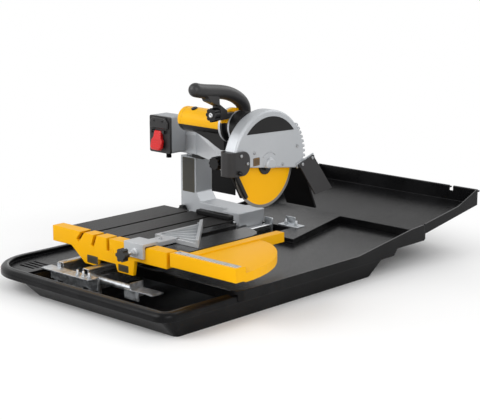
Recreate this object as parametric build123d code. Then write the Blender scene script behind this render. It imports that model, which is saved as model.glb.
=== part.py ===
from build123d import *
import os
from math import cos, sin, radians

# Frame: +X to the operator's right, +Y to the back, +Z up, millimetres.
# Everything is drawn from the blade: X = 0 is the blade's plane, Y = 0 its arbor, Z = 0 the floor.
# The finished part's own origin is the middle of the pan's base.
DATUM_X = 140.0
DATUM_Y = 100.0

# Clearances
RUN = 0.05             # radial running fit of a shaft in its bore
GAP = 0.5              # air between pieces that slide past each other
BELT_GAP = 0.1         # belt to pulley groove

# Blade and arbor
BLADE_D = 254.0
BLADE_CORE_T = 1.8
BLADE_RIM_T = 2.4
BLADE_RIM_W = 9.0
ARBOR_D = 15.875
ARBOR_Z = 380.0        # arbor height with the head raised
FLANGE_D = 50.0
FLANGE_T = 6.0
ARBOR_NUT_D = 27.0
ARBOR_NUT_T = 9.0
SPINDLE_D = 18.0
BEARING_D = 32.0
BEARING_W = 9.0

# Water pan
PAN_LEFT = -650.0
PAN_RIGHT = 174.0
PAN_FRONT = -584.0
PAN_BACK = 415.0
PAN_TOP = 75.0
PAN_RIM_H = 25.0
PAN_RIM_W = 24.0
PAN_CORNER_R = 45.0
PAN_FRONT_LEFT_R = 160.0
PAN_ROLL_R = 15.0
PAN_SHELF_Z = 62.0
PAN_SHELF_RIGHT = -482.0
PAN_BASE_LEFT = -440.0
PAN_BASE_RIGHT = 160.0
PAN_BASE_FRONT = -527.0
PAN_BASE_BACK = 327.0
PAN_FLOOR_T = 4.0
PAN_WALL = 6.0
DRAIN_X = 105.0
DRAIN_Y = -470.0
DRAIN_D = 30.0
DRAIN_HEAD_D = 40.0
GRIP_SLOTS = 4
GRIP_SLOT_W = 9.0
GRIP_PITCH = 18.0

# Side tray
TRAY_LEFT = -240.0
TRAY_FRONT = -308.0
TRAY_EDGE = 10.0        # how far the trays stand outside the pan's right rim
TRAY_FLOOR_T = 3.0
TRAY_LIP_Z = 86.0
TRAY_SKIRT_Z = 54.0
TRAY_WALL = 5.0
TRAY_CORNER_R = 26.0
TRAY_RISE_Y = 240.0
TRAY_HIGH_Z = 124.0
TRAY_HIGH_Y = 512.0
TRAY_BACK = 580.0
DIAG_X0 = -85.0
DIAG_Y0 = 235.0
DIAG_X1 = -172.0

# Rear tray
REAR_LEFT = -520.0
REAR_BACK = 885.0
REAR_STEP_Z = 102.0
REAR_BACK_Z = 150.0
REAR_TOP_Z = 200.0
REAR_FLOOR_T = 4.0
REAR_CLEAR_Y = 345.0    # front edge behind the column's foot
REAR_CLEAR_X = -190.0
REAR_FLANGE = 12.0

# Column and its foot
COL_LEFT = -614.0
COL_RIGHT = -541.0
COL_FRONT = 250.0
COL_BACK = 328.0
COL_TOP = 305.0
COL_WALL = 9.0
FOOT_RIGHT = -304.0
FOOT_KNEE_X = -389.0     # where the foot's top stops falling
FOOT_TOP_LEFT = 182.0
FOOT_SHOULDER_Z = 152.0  # under the table's travel
FOOT_TOP_RIGHT = 149.0
FOOT_HEAD_LEFT = -380.0  # cross head at the foot's right end
FOOT_HEAD_FRONT = 215.0
FOOT_HEAD_BACK = 338.0
FOOT_HEAD_LOW = 106.0
TONGUE_X = -577.5
TONGUE_W = 39.0
TONGUE_R = 27.0

# Plunge hinge and arm
PLUNGE_Y = 289.0
PLUNGE_Z = 362.0
PLUNGE_PIN_D = 16.0
ARM_LEFT = -612.0
ARM_RIGHT = -474.0
ARM_FRONT = 205.0
ARM_TOP = 414.0
BEAM_TOP = 404.0
BEAM_ROOT_Z = 330.0
BEAM_TIP_Z = 380.0
BEAM_ROOT_X = -500.0
BEAM_ROOT_Y = 250.0
BEAM_ROOT_W = 66.0
BEAM_TIP_W = 24.0

# Bevel hinge
BEVEL_X = -60.0
BEVEL_Z = 400.0
BEVEL_PIN_D = 16.0
EYE_D = 50.0
EYE_FRONT = -122.0
EYE_BACK = -74.0
BEVEL_KNOB_D = 40.0
BEVEL_KNOB_T = 30.0

# Switch box on the arm
BOX_OVERHANG = 30.0      # box outside the arm's left side
BOX_W = 98.0
BOX_FRONT = 140.0
BOX_Z0 = 331.0
BOX_Z1 = 455.0
BOX_WALL = 4.0
FACE_T = 9.0
PADDLE_INSET = 20.0      # from the box's left side
PADDLE_W = 52.0
PADDLE_Z0 = 340.0
PADDLE_HINGE_Z = 403.0
PADDLE_PIN_D = 5.0
FACE_SCREW_IN = (22.0, 56.0)
GLAND_D = 18.0
GLAND_L = 22.0

# Motor and belt drive
MOTOR_Y = -45.0
MOTOR_Z = 500.0
MOTOR_D = 78.0
MOTOR_WALL = 5.0
MOTOR_LEFT = -270.0
MOTOR_RIGHT = -98.0
MOTOR_SPLIT_Z = 488.0
BELLY_LOW = 424.0
BELLY_HALF_W = 27.0
CAP_L = 22.0
FLANGE_RING_D = 106.0
FLANGE_RING_X = -82.0
DRIVE_LEFT = -66.0
DRIVE_RIGHT = -20.0
DRIVE_WALL = 5.0
DRIVE_LOW_R = 46.0
DRIVE_HIGH_R = 46.0
ROTOR_D = 14.0
ROTOR_CORE_D = 40.0
ROTOR_CORE_L = 90.0
STATOR_BORE_GAP = 1.0
PULLEY_SMALL_D = 30.0
PULLEY_LARGE_D = 72.0
PULLEY_X0 = -50.0
PULLEY_X1 = -39.0
BELT_T = 3.5

# Blade guard
GUARD_RIGHT = 22.0
GUARD_CLEAR = 31.0      # guard's rim outside the blade's
GUARD_Y = 2.0
GUARD_RISE = 13.0       # guard's centre above the arbor
GUARD_WALL = 3.5
GUARD_LOW_FRONT = 398.0
GUARD_LOW_BACK = 357.0
GUARD_BOSS_D = 42.0
GUARD_BOSS_L = 9.0
GUARD_BOSS_UP = 6.0     # boss above the arbor
GUARD_EDGE_R = 8.0
GUARD_RIB_COUNT = 9

# Water nozzles
NOZZLE_PIN_OUT = 11.0   # pin in front of the blade's rim
NOZZLE_PIN_Z = 380.0
NOZZLE_PIN_D = 7.0
NOZZLE_EYE_D = 17.0
NOZZLE_W = 8.0
NOZZLE_OFF = 5.0        # from the blade's plane to the nozzle's near face
NOZZLE_TIP_IN = 39.0    # nozzle's tip behind the blade's front
NOZZLE_TIP_UP = 43.0    # and above its lowest point
BLOCK_SIDE = 6.0
BLOCK_NOSE = 10.0
BLOCK_OUT = 45.0        # block's face in front of the blade's rim
BLOCK_L = 80.0
BLOCK_LOW = 370.0
BLOCK_TOP = 442.0
BLOCK_CORNER_R = 20.0
BLOCK_END_R = 28.0

# Handle
HANDLE_X = -80.0
HANDLE_W = 42.0
HANDLE_LEG_W = 34.0
LEG_FRONT = -121.0
LEG_BACK = -93.0
GRIP_ROOT_Y = -9.0      # where the grip leaves the motor
GRIP_ROOT_UP = 18.0
GRIP_REACH = 200.0       # its nose in front of that
GRIP_RISE = 104.0
STAR_Z = 541.0
STAR_D = 42.0
STAR_T = 22.0
STAR_PIN_D = 10.0

# Rubber flaps
FLAP_T = 5.0
FLAP_Y = 131.0           # front end of the side flap's top edge
FLAP_Z = 365.0
FLAP_L = 67.0            # that edge runs back
FLAP_CLIMB = 21.0        # and up
FLAP_OUT = 35.0          # the flap leans out
FLAP_SWEEP = 34.0        # and back
FLAP_FALL = 89.0         # as it hangs down
SKIRT_X0 = -99.0
SKIRT_X1 = 20.0
SKIRT_TOP = 382.0
SKIRT_REACH = 60.0
SKIRT_DROP = 164.0
CURTAIN_RIGHT = -366.0
CURTAIN_Y = 259.0
CURTAIN_LOW = 196.0

# Base frame and fixed rails
RAIL_X = (-400.0, -285.0)
RAIL_W = 24.0
RAIL_H = 29.5
RAIL_TOP = 99.5
RAIL_FRONT = -468.0
RAIL_RIGHT_BACK = 338.0   # the right rail runs on past the column's foot
RAIL_WALL = 2.5
BEARER_W = 30.0
BEARER_Z0 = 30.0
BEARER_WALL = 3.0
CROSS_FRONT = -470.0
CROSS_D = 30.0
CROSS_LEFT = -430.0
CROSS_RIGHT = -255.0
FOOT_D = 36.0

# Cart
TABLE_LEFT = -515.0
TABLE_TOP = 170.0
MAT_T = 8.0
MAT_LEFT_W = 117.0
MAT_MIDDLE_W = 94.0
MAT_GAP = 12.0
PLAIN_W = 40.0          # plain strip left of the bevel groove
PLATE_T = 8.0
TABLE_BACK = 75.0
KERF_HALF = 7.0         # half the blade slot
FENCE_FRONT = -403.0
FENCE_BACK = -361.0
FENCE_TOP = 184.0
FENCE_BOTTOM = 136.0
FENCE_LEG_Z = 90.0
FENCE_SKIN = 12.0
NOTCH_W = 13.0
NOTCH_Z = 146.0
BEVEL_NOTCH_HALF = 8.0
BEVEL_SLOT_X0 = -140.0
BEVEL_SLOT_X1 = -102.0
ROLLER_D = 40.0
ROLLER_W = 18.0
ROLLER_LIFT = 0.3
AXLE_D = 10.0
ROLLER_Y = (-330.0, -140.0)
TRUCK_FRONT = -352.0
TRUCK_BACK = -118.0
TRUCK_PLATE = 6.0
TRUCK_LOW = 107.0

# Side extension
EXT_RIGHT = 264.0
EXT_FENCE_T = 40.0
EXT_TOP = 186.0
EXT_BOTTOM = 146.0
EXT_BAR_W = 32.0
EXT_BAR_BACK = 50.0
DECK_TOP = 168.0
DECK_T = 26.0
DECK_ROUND = 1.1         # 1 would be a quarter ellipse, more is flatter
EXT_ROD_W = 14.0
EXT_ROD_H = 11.0
EXT_ROD_Y = (-300.0, -120.0)

# Edge guide
CLAMP_LEFT = -175.0
CLAMP_RIGHT = -95.0
CLAMP_T = 9.0
CLAMP_LOW = 150.0
GUIDE_LEG = 185.0
GUIDE_DEPTH = 205.0
GUIDE_SET = 85.0        # neck between the clamp and the triangle
GUIDE_RIGHT = -14.0
GUIDE_BAR = 9.0
GUIDE_H = 13.0
GUIDE_LIP_H = 24.0
GUIDE_RIBS = 5
GUIDE_WEB = 4.0
GUIDE_KNOB_X = -128.0
GUIDE_KNOB_Z = 167.0
GUIDE_KNOB_D = 40.0
GUIDE_KNOB_T = 20.0
GUIDE_STUD_D = 10.0
GUIDE_STUD_OUT = 38.0    # bare stud between the clamp and the knob

# Column lock knob
COL_KNOB_Z = 118.0
COL_KNOB_D = 28.0
COL_KNOB_T = 16.0
COL_KNOB_PIN_D = 8.0

parts = {}


def box(x0, x1, y0, y1, z0, z1):
    return Pos((x0 + x1) / 2, (y0 + y1) / 2, (z0 + z1) / 2) * Box(x1 - x0, y1 - y0, z1 - z0)


def cyl_x(y, z, d, x0, x1):
    return Pos((x0 + x1) / 2, y, z) * Rot(0, 90, 0) * Cylinder(d / 2, x1 - x0)


def cyl_y(x, z, d, y0, y1):
    return Pos(x, (y0 + y1) / 2, z) * Rot(90, 0, 0) * Cylinder(d / 2, y1 - y0)


def cyl_z(x, y, d, z0, z1):
    return Pos(x, y, (z0 + z1) / 2) * Cylinder(d / 2, z1 - z0)


def prism_x(points, x0, x1):
    outline = Plane.YZ.offset(x0) * make_face(Polyline(*points, close=True))
    return extrude(outline, x1 - x0)


def prism_y(points, y0, y1):
    outline = Plane.XZ.offset(-y1) * make_face(Polyline(*points, close=True))
    return extrude(outline, y1 - y0)


def prism_z(points, z0, z1):
    outline = Plane.XY.offset(z0) * make_face(Polyline(*points, close=True))
    return extrude(outline, z1 - z0)


def plate_rect(x0, x1, y0, y1, r, z):
    return Pos((x0 + x1) / 2, (y0 + y1) / 2, z) * RectangleRounded(x1 - x0, y1 - y0, r)


def hull_x(a, b, x0, x1):
    """Two circles (y, z, radius) in the YZ plane wrapped by one outline, from x0 to x1."""
    circles = [Pos(y, z) * Circle(r) for y, z, r in (a, b)]
    outline = make_hull(circles[0].edges() + circles[1].edges())
    return extrude(Plane.YZ.offset(x0) * outline, x1 - x0)


def lobed_knob(d, t, lobes, bite):
    """A hand knob about Z, its face up, with grip hollows round the edge and a raised hub."""
    body = Cylinder(d / 2, t, align=(Align.CENTER, Align.CENTER, Align.MIN))
    for k in range(lobes):
        a = radians(360 / lobes * (k + 0.5))
        r = d / 2 + bite * 0.35
        body -= Pos(r * cos(a), r * sin(a), t / 2) * Cylinder(bite, 2 * t)
    return body


def front_knob(x, z, d, t, y_back, lobes, bite):
    """A lobed knob whose face looks to the operator, its back at y_back."""
    return Pos(x, y_back, z) * Rot(90, 0, 0) * lobed_knob(d, t, lobes, bite)


# Water pan: a tub under a rolled rim, with a wide shelf down its left side
TUB_TOP = PAN_TOP - PAN_RIM_H + 4
RIM_FRONT = PAN_FRONT + PAN_RIM_W
RIM_BACK = PAN_BACK - PAN_RIM_W
RIM_RIGHT = PAN_RIGHT - PAN_RIM_W
rim = box(PAN_LEFT, PAN_RIGHT, PAN_FRONT, PAN_BACK, PAN_TOP - PAN_RIM_H, PAN_TOP)
corners = rim.edges().filter_by(Axis.Z).sort_by(lambda e: e.center().X + e.center().Y)
rim = fillet(corners[0], PAN_FRONT_LEFT_R)
corners = rim.edges().filter_by(Axis.Z).filter_by(lambda e: e.center().X > 0 or e.center().Y > 0)
rim = fillet(corners, PAN_CORNER_R)
rim = fillet(rim.edges().group_by(Axis.Z)[-1], PAN_ROLL_R)
tub = loft([
    plate_rect(PAN_BASE_LEFT, PAN_BASE_RIGHT, PAN_BASE_FRONT, PAN_BASE_BACK, 14, 0),
    plate_rect(PAN_SHELF_RIGHT - PAN_WALL, PAN_RIGHT - 4, PAN_FRONT + 10, PAN_BACK - 10, 34, TUB_TOP),
])
hollow = loft([
    plate_rect(PAN_BASE_LEFT + PAN_WALL, PAN_BASE_RIGHT - PAN_WALL,
               PAN_BASE_FRONT + PAN_WALL, PAN_BASE_BACK - PAN_WALL, 10, PAN_FLOOR_T),
    plate_rect(PAN_SHELF_RIGHT, RIM_RIGHT, RIM_FRONT, RIM_BACK, 26, TUB_TOP),
])
hollow += extrude(plate_rect(PAN_SHELF_RIGHT, RIM_RIGHT, RIM_FRONT, RIM_BACK, 26, TUB_TOP), PAN_TOP)
shelf_outline = plate_rect(PAN_LEFT + PAN_RIM_W, PAN_SHELF_RIGHT + 30, RIM_FRONT, RIM_BACK, 26, PAN_SHELF_Z)
shelf = extrude(shelf_outline, PAN_TOP)
inside = box(PAN_LEFT + PAN_RIM_W, RIM_RIGHT, RIM_FRONT, RIM_BACK, -1, 2 * PAN_TOP)
corners = inside.edges().filter_by(Axis.Z).sort_by(lambda e: e.center().X + e.center().Y)
inside = fillet(corners[0], PAN_FRONT_LEFT_R - PAN_RIM_W)
pan = rim + tub - (hollow & inside) - (shelf & inside)
for k in range(GRIP_SLOTS):
    slot_y = RIM_FRONT + 70 + k * GRIP_PITCH
    pan -= box(PAN_LEFT + 75, PAN_SHELF_RIGHT - 25, slot_y, slot_y + GRIP_SLOT_W, 0, PAN_TOP)
pan -= cyl_z(DRAIN_X, DRAIN_Y, DRAIN_D, -1, PAN_FLOOR_T + 1)
parts["water_pan"] = pan

# Drain plug: a rubber stopper pulled up by its tab
plug = cyl_z(DRAIN_X, DRAIN_Y, DRAIN_D - 2 * GAP, 0.5, PAN_FLOOR_T + 1)
plug += cyl_z(DRAIN_X, DRAIN_Y, DRAIN_HEAD_D, PAN_FLOOR_T, PAN_FLOOR_T + 5)
plug += box(DRAIN_X - 12, DRAIN_X + 12, DRAIN_Y - 3, DRAIN_Y + 3, PAN_FLOOR_T + 4, PAN_FLOOR_T + 20)
parts["drain_plug"] = plug

# Side tray: a shallow basin hooked over the pan's right rim
TRAY_RIGHT = PAN_RIGHT + TRAY_EDGE
TRAY_FLOOR_TOP = PAN_TOP + TRAY_FLOOR_T
side_outline = make_face(Polyline(
    (TRAY_LEFT, TRAY_FRONT), (TRAY_RIGHT, TRAY_FRONT), (TRAY_RIGHT, TRAY_BACK), (DIAG_X1, TRAY_BACK),
    (DIAG_X0, DIAG_Y0), (TRAY_LEFT, DIAG_Y0), close=True))
front_right = side_outline.vertices().sort_by(lambda v: v.X - v.Y)[-1]
side_outline = fillet(front_right, TRAY_CORNER_R)
side_inner = offset(side_outline, -TRAY_WALL)
ring = extrude(Pos(0, 0, TRAY_SKIRT_Z) * (side_outline - side_inner), REAR_TOP_Z - TRAY_SKIRT_Z)
wall_shape = prism_x([
    (TRAY_FRONT - 1, TRAY_SKIRT_Z), (TRAY_FRONT - 1, TRAY_LIP_Z), (TRAY_RISE_Y, TRAY_LIP_Z),
    (TRAY_HIGH_Y, TRAY_HIGH_Z), (TRAY_BACK, TRAY_HIGH_Z + 4), (TRAY_BACK, PAN_TOP),
    (PAN_BACK + 20, PAN_TOP), (PAN_BACK, TRAY_SKIRT_Z)], TRAY_LEFT - 1, TRAY_RIGHT + 1)
walls = ring & wall_shape
walls -= box(TRAY_LEFT - 1, TRAY_RIGHT - TRAY_WALL, DIAG_Y0, TRAY_BACK + 1, 0, REAR_TOP_Z)
walls -= box(TRAY_LEFT - 1, PAN_RIGHT + 1, TRAY_FRONT + TRAY_WALL + 0.5, TRAY_BACK + 1, 0, PAN_TOP)
walls -= box(RIM_RIGHT - 3, PAN_RIGHT + 1, TRAY_FRONT - 1, TRAY_FRONT + TRAY_WALL + 30, 0, PAN_TOP)
tray_floor = extrude(Pos(0, 0, PAN_TOP) * side_outline, TRAY_FLOOR_T)
parts["side_tray"] = tray_floor + walls

# Rear tray: a floor rising to a high back wall, hooked over the pan's back rim
rear_outline = make_face(Polyline(
    (DIAG_X0, DIAG_Y0), (DIAG_X1, TRAY_BACK), (TRAY_RIGHT, TRAY_BACK), (TRAY_RIGHT, REAR_BACK),
    (REAR_LEFT, REAR_BACK), (REAR_LEFT, REAR_CLEAR_Y), (REAR_CLEAR_X, REAR_CLEAR_Y),
    (REAR_CLEAR_X, DIAG_Y0), close=True))
rear_inner = offset(rear_outline, -TRAY_WALL)
rear_full = extrude(Pos(0, 0, TRAY_FLOOR_TOP) * rear_outline, REAR_TOP_Z)
rear_ring = extrude(Pos(0, 0, TRAY_FLOOR_TOP) * (rear_outline - rear_inner), REAR_TOP_Z)
STEP_LOW = REAR_STEP_Z - 6
floor_band = prism_x([
    (DIAG_Y0 - 1, STEP_LOW), (TRAY_BACK + 10, REAR_STEP_Z), (REAR_BACK + 1, REAR_BACK_Z),
    (REAR_BACK + 1, REAR_BACK_Z - REAR_FLOOR_T), (TRAY_BACK + 10, REAR_STEP_Z - REAR_FLOOR_T),
    (DIAG_Y0 - 1, STEP_LOW - REAR_FLOOR_T)], REAR_LEFT, TRAY_RIGHT)
skirt_band = prism_x([
    (DIAG_Y0 - 1, TRAY_FLOOR_TOP), (TRAY_BACK + TRAY_WALL, TRAY_FLOOR_TOP),
    (TRAY_BACK + TRAY_WALL, REAR_STEP_Z - 1), (DIAG_Y0 - 1, STEP_LOW)], REAR_LEFT, TRAY_RIGHT)
wall_band = prism_x([
    (REAR_CLEAR_Y - 1, STEP_LOW - 2), (REAR_CLEAR_Y - 1, STEP_LOW + 16), (TRAY_BACK, TRAY_HIGH_Z + 4),
    (REAR_BACK - 110, REAR_BACK_Z + 8), (REAR_BACK, REAR_TOP_Z), (REAR_BACK, REAR_BACK_Z - REAR_FLOOR_T),
    (TRAY_BACK + 10, REAR_STEP_Z - REAR_FLOOR_T)], REAR_LEFT, TRAY_RIGHT)
rear_walls = rear_ring & wall_band
rear_walls -= box(REAR_LEFT + TRAY_WALL, TRAY_RIGHT - TRAY_WALL, 0, REAR_BACK - TRAY_WALL, 0, REAR_TOP_Z + 1)
rear = (rear_full & floor_band) + (rear_ring & skirt_band) + rear_walls
rear += box(REAR_LEFT, TRAY_RIGHT, REAR_BACK - TRAY_WALL, REAR_BACK + REAR_FLANGE,
            REAR_TOP_Z - 10, REAR_TOP_Z - 5)
rear += box(REAR_LEFT + 20, REAR_CLEAR_X, PAN_BACK + 1, PAN_BACK + 1 + TRAY_WALL, PAN_TOP - 14, STEP_LOW)
for rib_x in (REAR_LEFT + 60, (REAR_LEFT + REAR_CLEAR_X) / 2, REAR_CLEAR_X - 25):
    rear += box(rib_x - 3, rib_x + 3, RIM_BACK, PAN_BACK + 3, PAN_TOP, STEP_LOW)
rear -= box(70, 86, REAR_BACK - TRAY_WALL - 1, REAR_BACK + REAR_FLANGE + 1, REAR_TOP_Z - 18, REAR_TOP_Z + 1)
parts["rear_tray"] = rear

# Base frame: welded bearers and cross-members on feet that stand on the pan's floor
BEARER_TOP = RAIL_TOP - RAIL_H
frame = box(CROSS_LEFT, CROSS_RIGHT, CROSS_FRONT, CROSS_FRONT + CROSS_D, BEARER_Z0, BEARER_TOP)
for rail_x in RAIL_X:
    frame += box(rail_x - BEARER_W / 2, rail_x + BEARER_W / 2, CROSS_FRONT, COL_FRONT, BEARER_Z0, BEARER_TOP)
    for foot_y in (CROSS_FRONT + 40, COL_FRONT - 50):
        frame += cyl_z(rail_x, foot_y, FOOT_D, PAN_FLOOR_T, BEARER_Z0 + 1)
for rail_x in RAIL_X:
    frame -= box(rail_x - BEARER_W / 2 + BEARER_WALL, rail_x + BEARER_W / 2 - BEARER_WALL,
                 CROSS_FRONT - 1, COL_FRONT + 1, BEARER_Z0 + BEARER_WALL, BEARER_TOP - BEARER_WALL)
parts["base_frame"] = frame

# Rails: two stainless tubes lying on the bearers
for name, rail_x, rail_back in zip(("rail_left", "rail_right"), RAIL_X, (COL_FRONT, RAIL_RIGHT_BACK)):
    tube = box(rail_x - RAIL_W / 2, rail_x + RAIL_W / 2, RAIL_FRONT, rail_back, BEARER_TOP, RAIL_TOP)
    tube = fillet(tube.edges().filter_by(Axis.Y), 3)
    tube -= box(rail_x - RAIL_W / 2 + RAIL_WALL, rail_x + RAIL_W / 2 - RAIL_WALL,
                RAIL_FRONT - 1, rail_back + 1, BEARER_TOP + RAIL_WALL, RAIL_TOP - RAIL_WALL)
    parts[name] = tube

# Front plate: a folded strip on the cross-member with an upright stop for the cart
PLATE_Y = CROSS_FRONT - 4
STRIP_TOP = BEARER_TOP + 14
front_plate = box(CROSS_LEFT - 10, CROSS_RIGHT + 30, PLATE_Y, CROSS_FRONT, BEARER_Z0 + 14, STRIP_TOP)
front_plate += box(CROSS_LEFT - 10, CROSS_RIGHT + 30, PLATE_Y - 36, CROSS_FRONT, STRIP_TOP - 4, STRIP_TOP)
front_plate += box(RAIL_X[0] - 8, RAIL_X[0] + 8, PLATE_Y, CROSS_FRONT, BEARER_TOP + 13, RAIL_TOP - 2)
parts["front_plate"] = front_plate

# Front tube: a bright spacer tube with a folded bracket welded on its right end
TUBE_Y = CROSS_FRONT + 45
TUBE_Z = BEARER_TOP - 10
TUBE_D = 20.0
TUBE_END = -112.0
tube_start = RAIL_X[1] + BEARER_W / 2
front_tube = cyl_x(TUBE_Y, TUBE_Z, TUBE_D, tube_start, TUBE_END)
front_tube -= cyl_x(TUBE_Y, TUBE_Z, TUBE_D - 5, tube_start - 1, TUBE_END + 1)
front_tube += box(TUBE_END, TUBE_END + 4, TUBE_Y - 25, TUBE_Y + 25, TUBE_Z - 22, TUBE_Z + 24)
front_tube += box(TUBE_END, TUBE_END + 95, TUBE_Y - 25, TUBE_Y + 20, TUBE_Z + 2, TUBE_Z + 6)
front_tube += box(TUBE_END - 20, TUBE_END + 40, TUBE_Y - 29, TUBE_Y - 25, TUBE_Z - 22, TUBE_Z + 6)
parts["front_tube"] = front_tube

# Column: a hollow casting with a foot across the pan and a tongue for the arm
column = prism_y([
    (COL_LEFT, PAN_SHELF_Z), (COL_LEFT, COL_TOP), (COL_RIGHT, COL_TOP), (COL_RIGHT, FOOT_TOP_LEFT),
    (COL_RIGHT + 20, FOOT_SHOULDER_Z), (FOOT_KNEE_X, FOOT_TOP_RIGHT), (FOOT_RIGHT, FOOT_TOP_RIGHT),
    (FOOT_RIGHT, PAN_SHELF_Z)],
    COL_FRONT, COL_BACK)
column -= box(COL_LEFT + COL_WALL, COL_RIGHT - COL_WALL, COL_FRONT + COL_WALL, COL_BACK + 1,
              PAN_SHELF_Z + COL_WALL, COL_TOP - 2 * COL_WALL)
column -= prism_y([
    (COL_RIGHT + 4, PAN_SHELF_Z + COL_WALL), (COL_RIGHT + 10, FOOT_SHOULDER_Z - COL_WALL),
    (FOOT_KNEE_X, FOOT_TOP_RIGHT - COL_WALL), (FOOT_RIGHT - COL_WALL, FOOT_TOP_RIGHT - COL_WALL),
    (FOOT_RIGHT - COL_WALL, PAN_SHELF_Z + COL_WALL)],
    COL_FRONT + COL_WALL, COL_BACK + 1)
head = box(FOOT_HEAD_LEFT, FOOT_RIGHT, FOOT_HEAD_FRONT, FOOT_HEAD_BACK, FOOT_HEAD_LOW, FOOT_TOP_RIGHT)
head -= box(FOOT_HEAD_LEFT + COL_WALL, FOOT_RIGHT - COL_WALL, FOOT_HEAD_FRONT + COL_WALL, FOOT_HEAD_BACK + 1,
            FOOT_HEAD_LOW - 1, FOOT_TOP_RIGHT - COL_WALL)
column += head
column += box(FOOT_RIGHT - 40, FOOT_RIGHT, COL_FRONT + 4, COL_BACK - 20, PAN_FLOOR_T, PAN_SHELF_Z + 1)
TONGUE_X0 = TONGUE_X - TONGUE_W / 2
TONGUE_X1 = TONGUE_X + TONGUE_W / 2
column += box(TONGUE_X0, TONGUE_X1, PLUNGE_Y - TONGUE_R, PLUNGE_Y + TONGUE_R, COL_TOP - 1, PLUNGE_Z)
column += cyl_x(PLUNGE_Y, PLUNGE_Z, 2 * TONGUE_R, TONGUE_X0, TONGUE_X1)
column -= cyl_x(PLUNGE_Y, PLUNGE_Z, PLUNGE_PIN_D, TONGUE_X0 - 1, TONGUE_X1 + 1)
COL_KNOB_X = COL_LEFT + 16
column -= cyl_y(COL_KNOB_X, COL_KNOB_Z, COL_KNOB_PIN_D + 2 * RUN, COL_FRONT - 1, COL_FRONT + COL_WALL + 1)
parts["column"] = column

# Plunge pin: fixed in the tongue, turning in the arm's two cheeks
PIN_END = TONGUE_X1 + 40
parts["plunge_pin"] = cyl_x(PLUNGE_Y, PLUNGE_Z, PLUNGE_PIN_D, ARM_LEFT - 3, PIN_END)

# Column knob: a small lock knob low on the column's face
knob = front_knob(COL_KNOB_X, COL_KNOB_Z, COL_KNOB_D, COL_KNOB_T, COL_FRONT - 2, 6, 5)
knob += cyl_y(COL_KNOB_X, COL_KNOB_Z, COL_KNOB_PIN_D, COL_FRONT - 3, COL_FRONT + COL_WALL - 1)
parts["column_knob"] = knob

# Arm: hinge boss, diagonal beam and the bevel eye in one casting, with a rubber curtain under the beam
EYE_MID = (EYE_FRONT + EYE_BACK) / 2
boss_points = [
    (ARM_FRONT, PLUNGE_Z - 36), (ARM_FRONT, ARM_TOP - 22), (ARM_FRONT + 6, ARM_TOP - 8),
    (ARM_FRONT + 20, ARM_TOP), (PLUNGE_Y + 11, ARM_TOP), (PLUNGE_Y + 37, ARM_TOP - 16),
    (PLUNGE_Y + 45, PLUNGE_Z), (PLUNGE_Y + 37, PLUNGE_Z - 26), (PLUNGE_Y + 15, PLUNGE_Z - 40),
    (PLUNGE_Y - 19, PLUNGE_Z - 40), (PLUNGE_Y - 31, PLUNGE_Z - 36)]
arm = prism_x(boss_points, ARM_LEFT, ARM_RIGHT)
run_x = BEVEL_X - BEAM_ROOT_X
run_y = EYE_MID - BEAM_ROOT_Y
run = (run_x ** 2 + run_y ** 2) ** 0.5
side_x = -run_y / run
side_y = run_x / run
beam = prism_z([
    (BEAM_ROOT_X + side_x * BEAM_ROOT_W / 2, BEAM_ROOT_Y + side_y * BEAM_ROOT_W / 2),
    (BEVEL_X + side_x * BEAM_TIP_W / 2, EYE_MID + side_y * BEAM_TIP_W / 2),
    (BEVEL_X - side_x * BEAM_TIP_W / 2, EYE_MID - side_y * BEAM_TIP_W / 2),
    (BEAM_ROOT_X - side_x * BEAM_ROOT_W / 2, BEAM_ROOT_Y - side_y * BEAM_ROOT_W / 2)],
    BEAM_ROOT_Z - 5, BEAM_TOP)
beam &= prism_y([
    (BEAM_ROOT_X - 60, BEAM_ROOT_Z), (BEAM_ROOT_X - 60, BEAM_TOP), (BEVEL_X + 20, BEAM_TOP),
    (BEVEL_X + 20, BEAM_TIP_Z), (BEVEL_X - 90, BEAM_TIP_Z - 6), (ARM_RIGHT, BEAM_ROOT_Z)],
    EYE_FRONT - 40, PLUNGE_Y + 60)
beam -= box(ARM_LEFT, TONGUE_X1 + 20, 0, PLUNGE_Y + 60, 0, BEAM_TOP + 1)
arm += beam
arm += cyl_y(BEVEL_X, BEVEL_Z, EYE_D, EYE_FRONT, EYE_BACK)
arm -= cyl_y(BEVEL_X, BEVEL_Z, BEVEL_PIN_D + 2 * RUN, EYE_FRONT - 1, EYE_BACK + 1)
arm -= cyl_y(BEVEL_X, BEVEL_Z, EYE_D + 6, EYE_BACK, EYE_BACK + 90)
arm -= box(TONGUE_X0 - GAP, TONGUE_X1 + GAP, ARM_FRONT + 35, PLUNGE_Y + 60, COL_TOP, ARM_TOP + 1)
arm -= cyl_x(PLUNGE_Y, PLUNGE_Z, PLUNGE_PIN_D + 2 * RUN, ARM_LEFT - 1, PIN_END + 1)
parts["arm_casting"] = arm
curtain = box(ARM_RIGHT, CURTAIN_RIGHT, CURTAIN_Y, CURTAIN_Y + 4, CURTAIN_LOW, BEAM_ROOT_Z + 15)
parts["arm_curtain"] = curtain - arm

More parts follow.
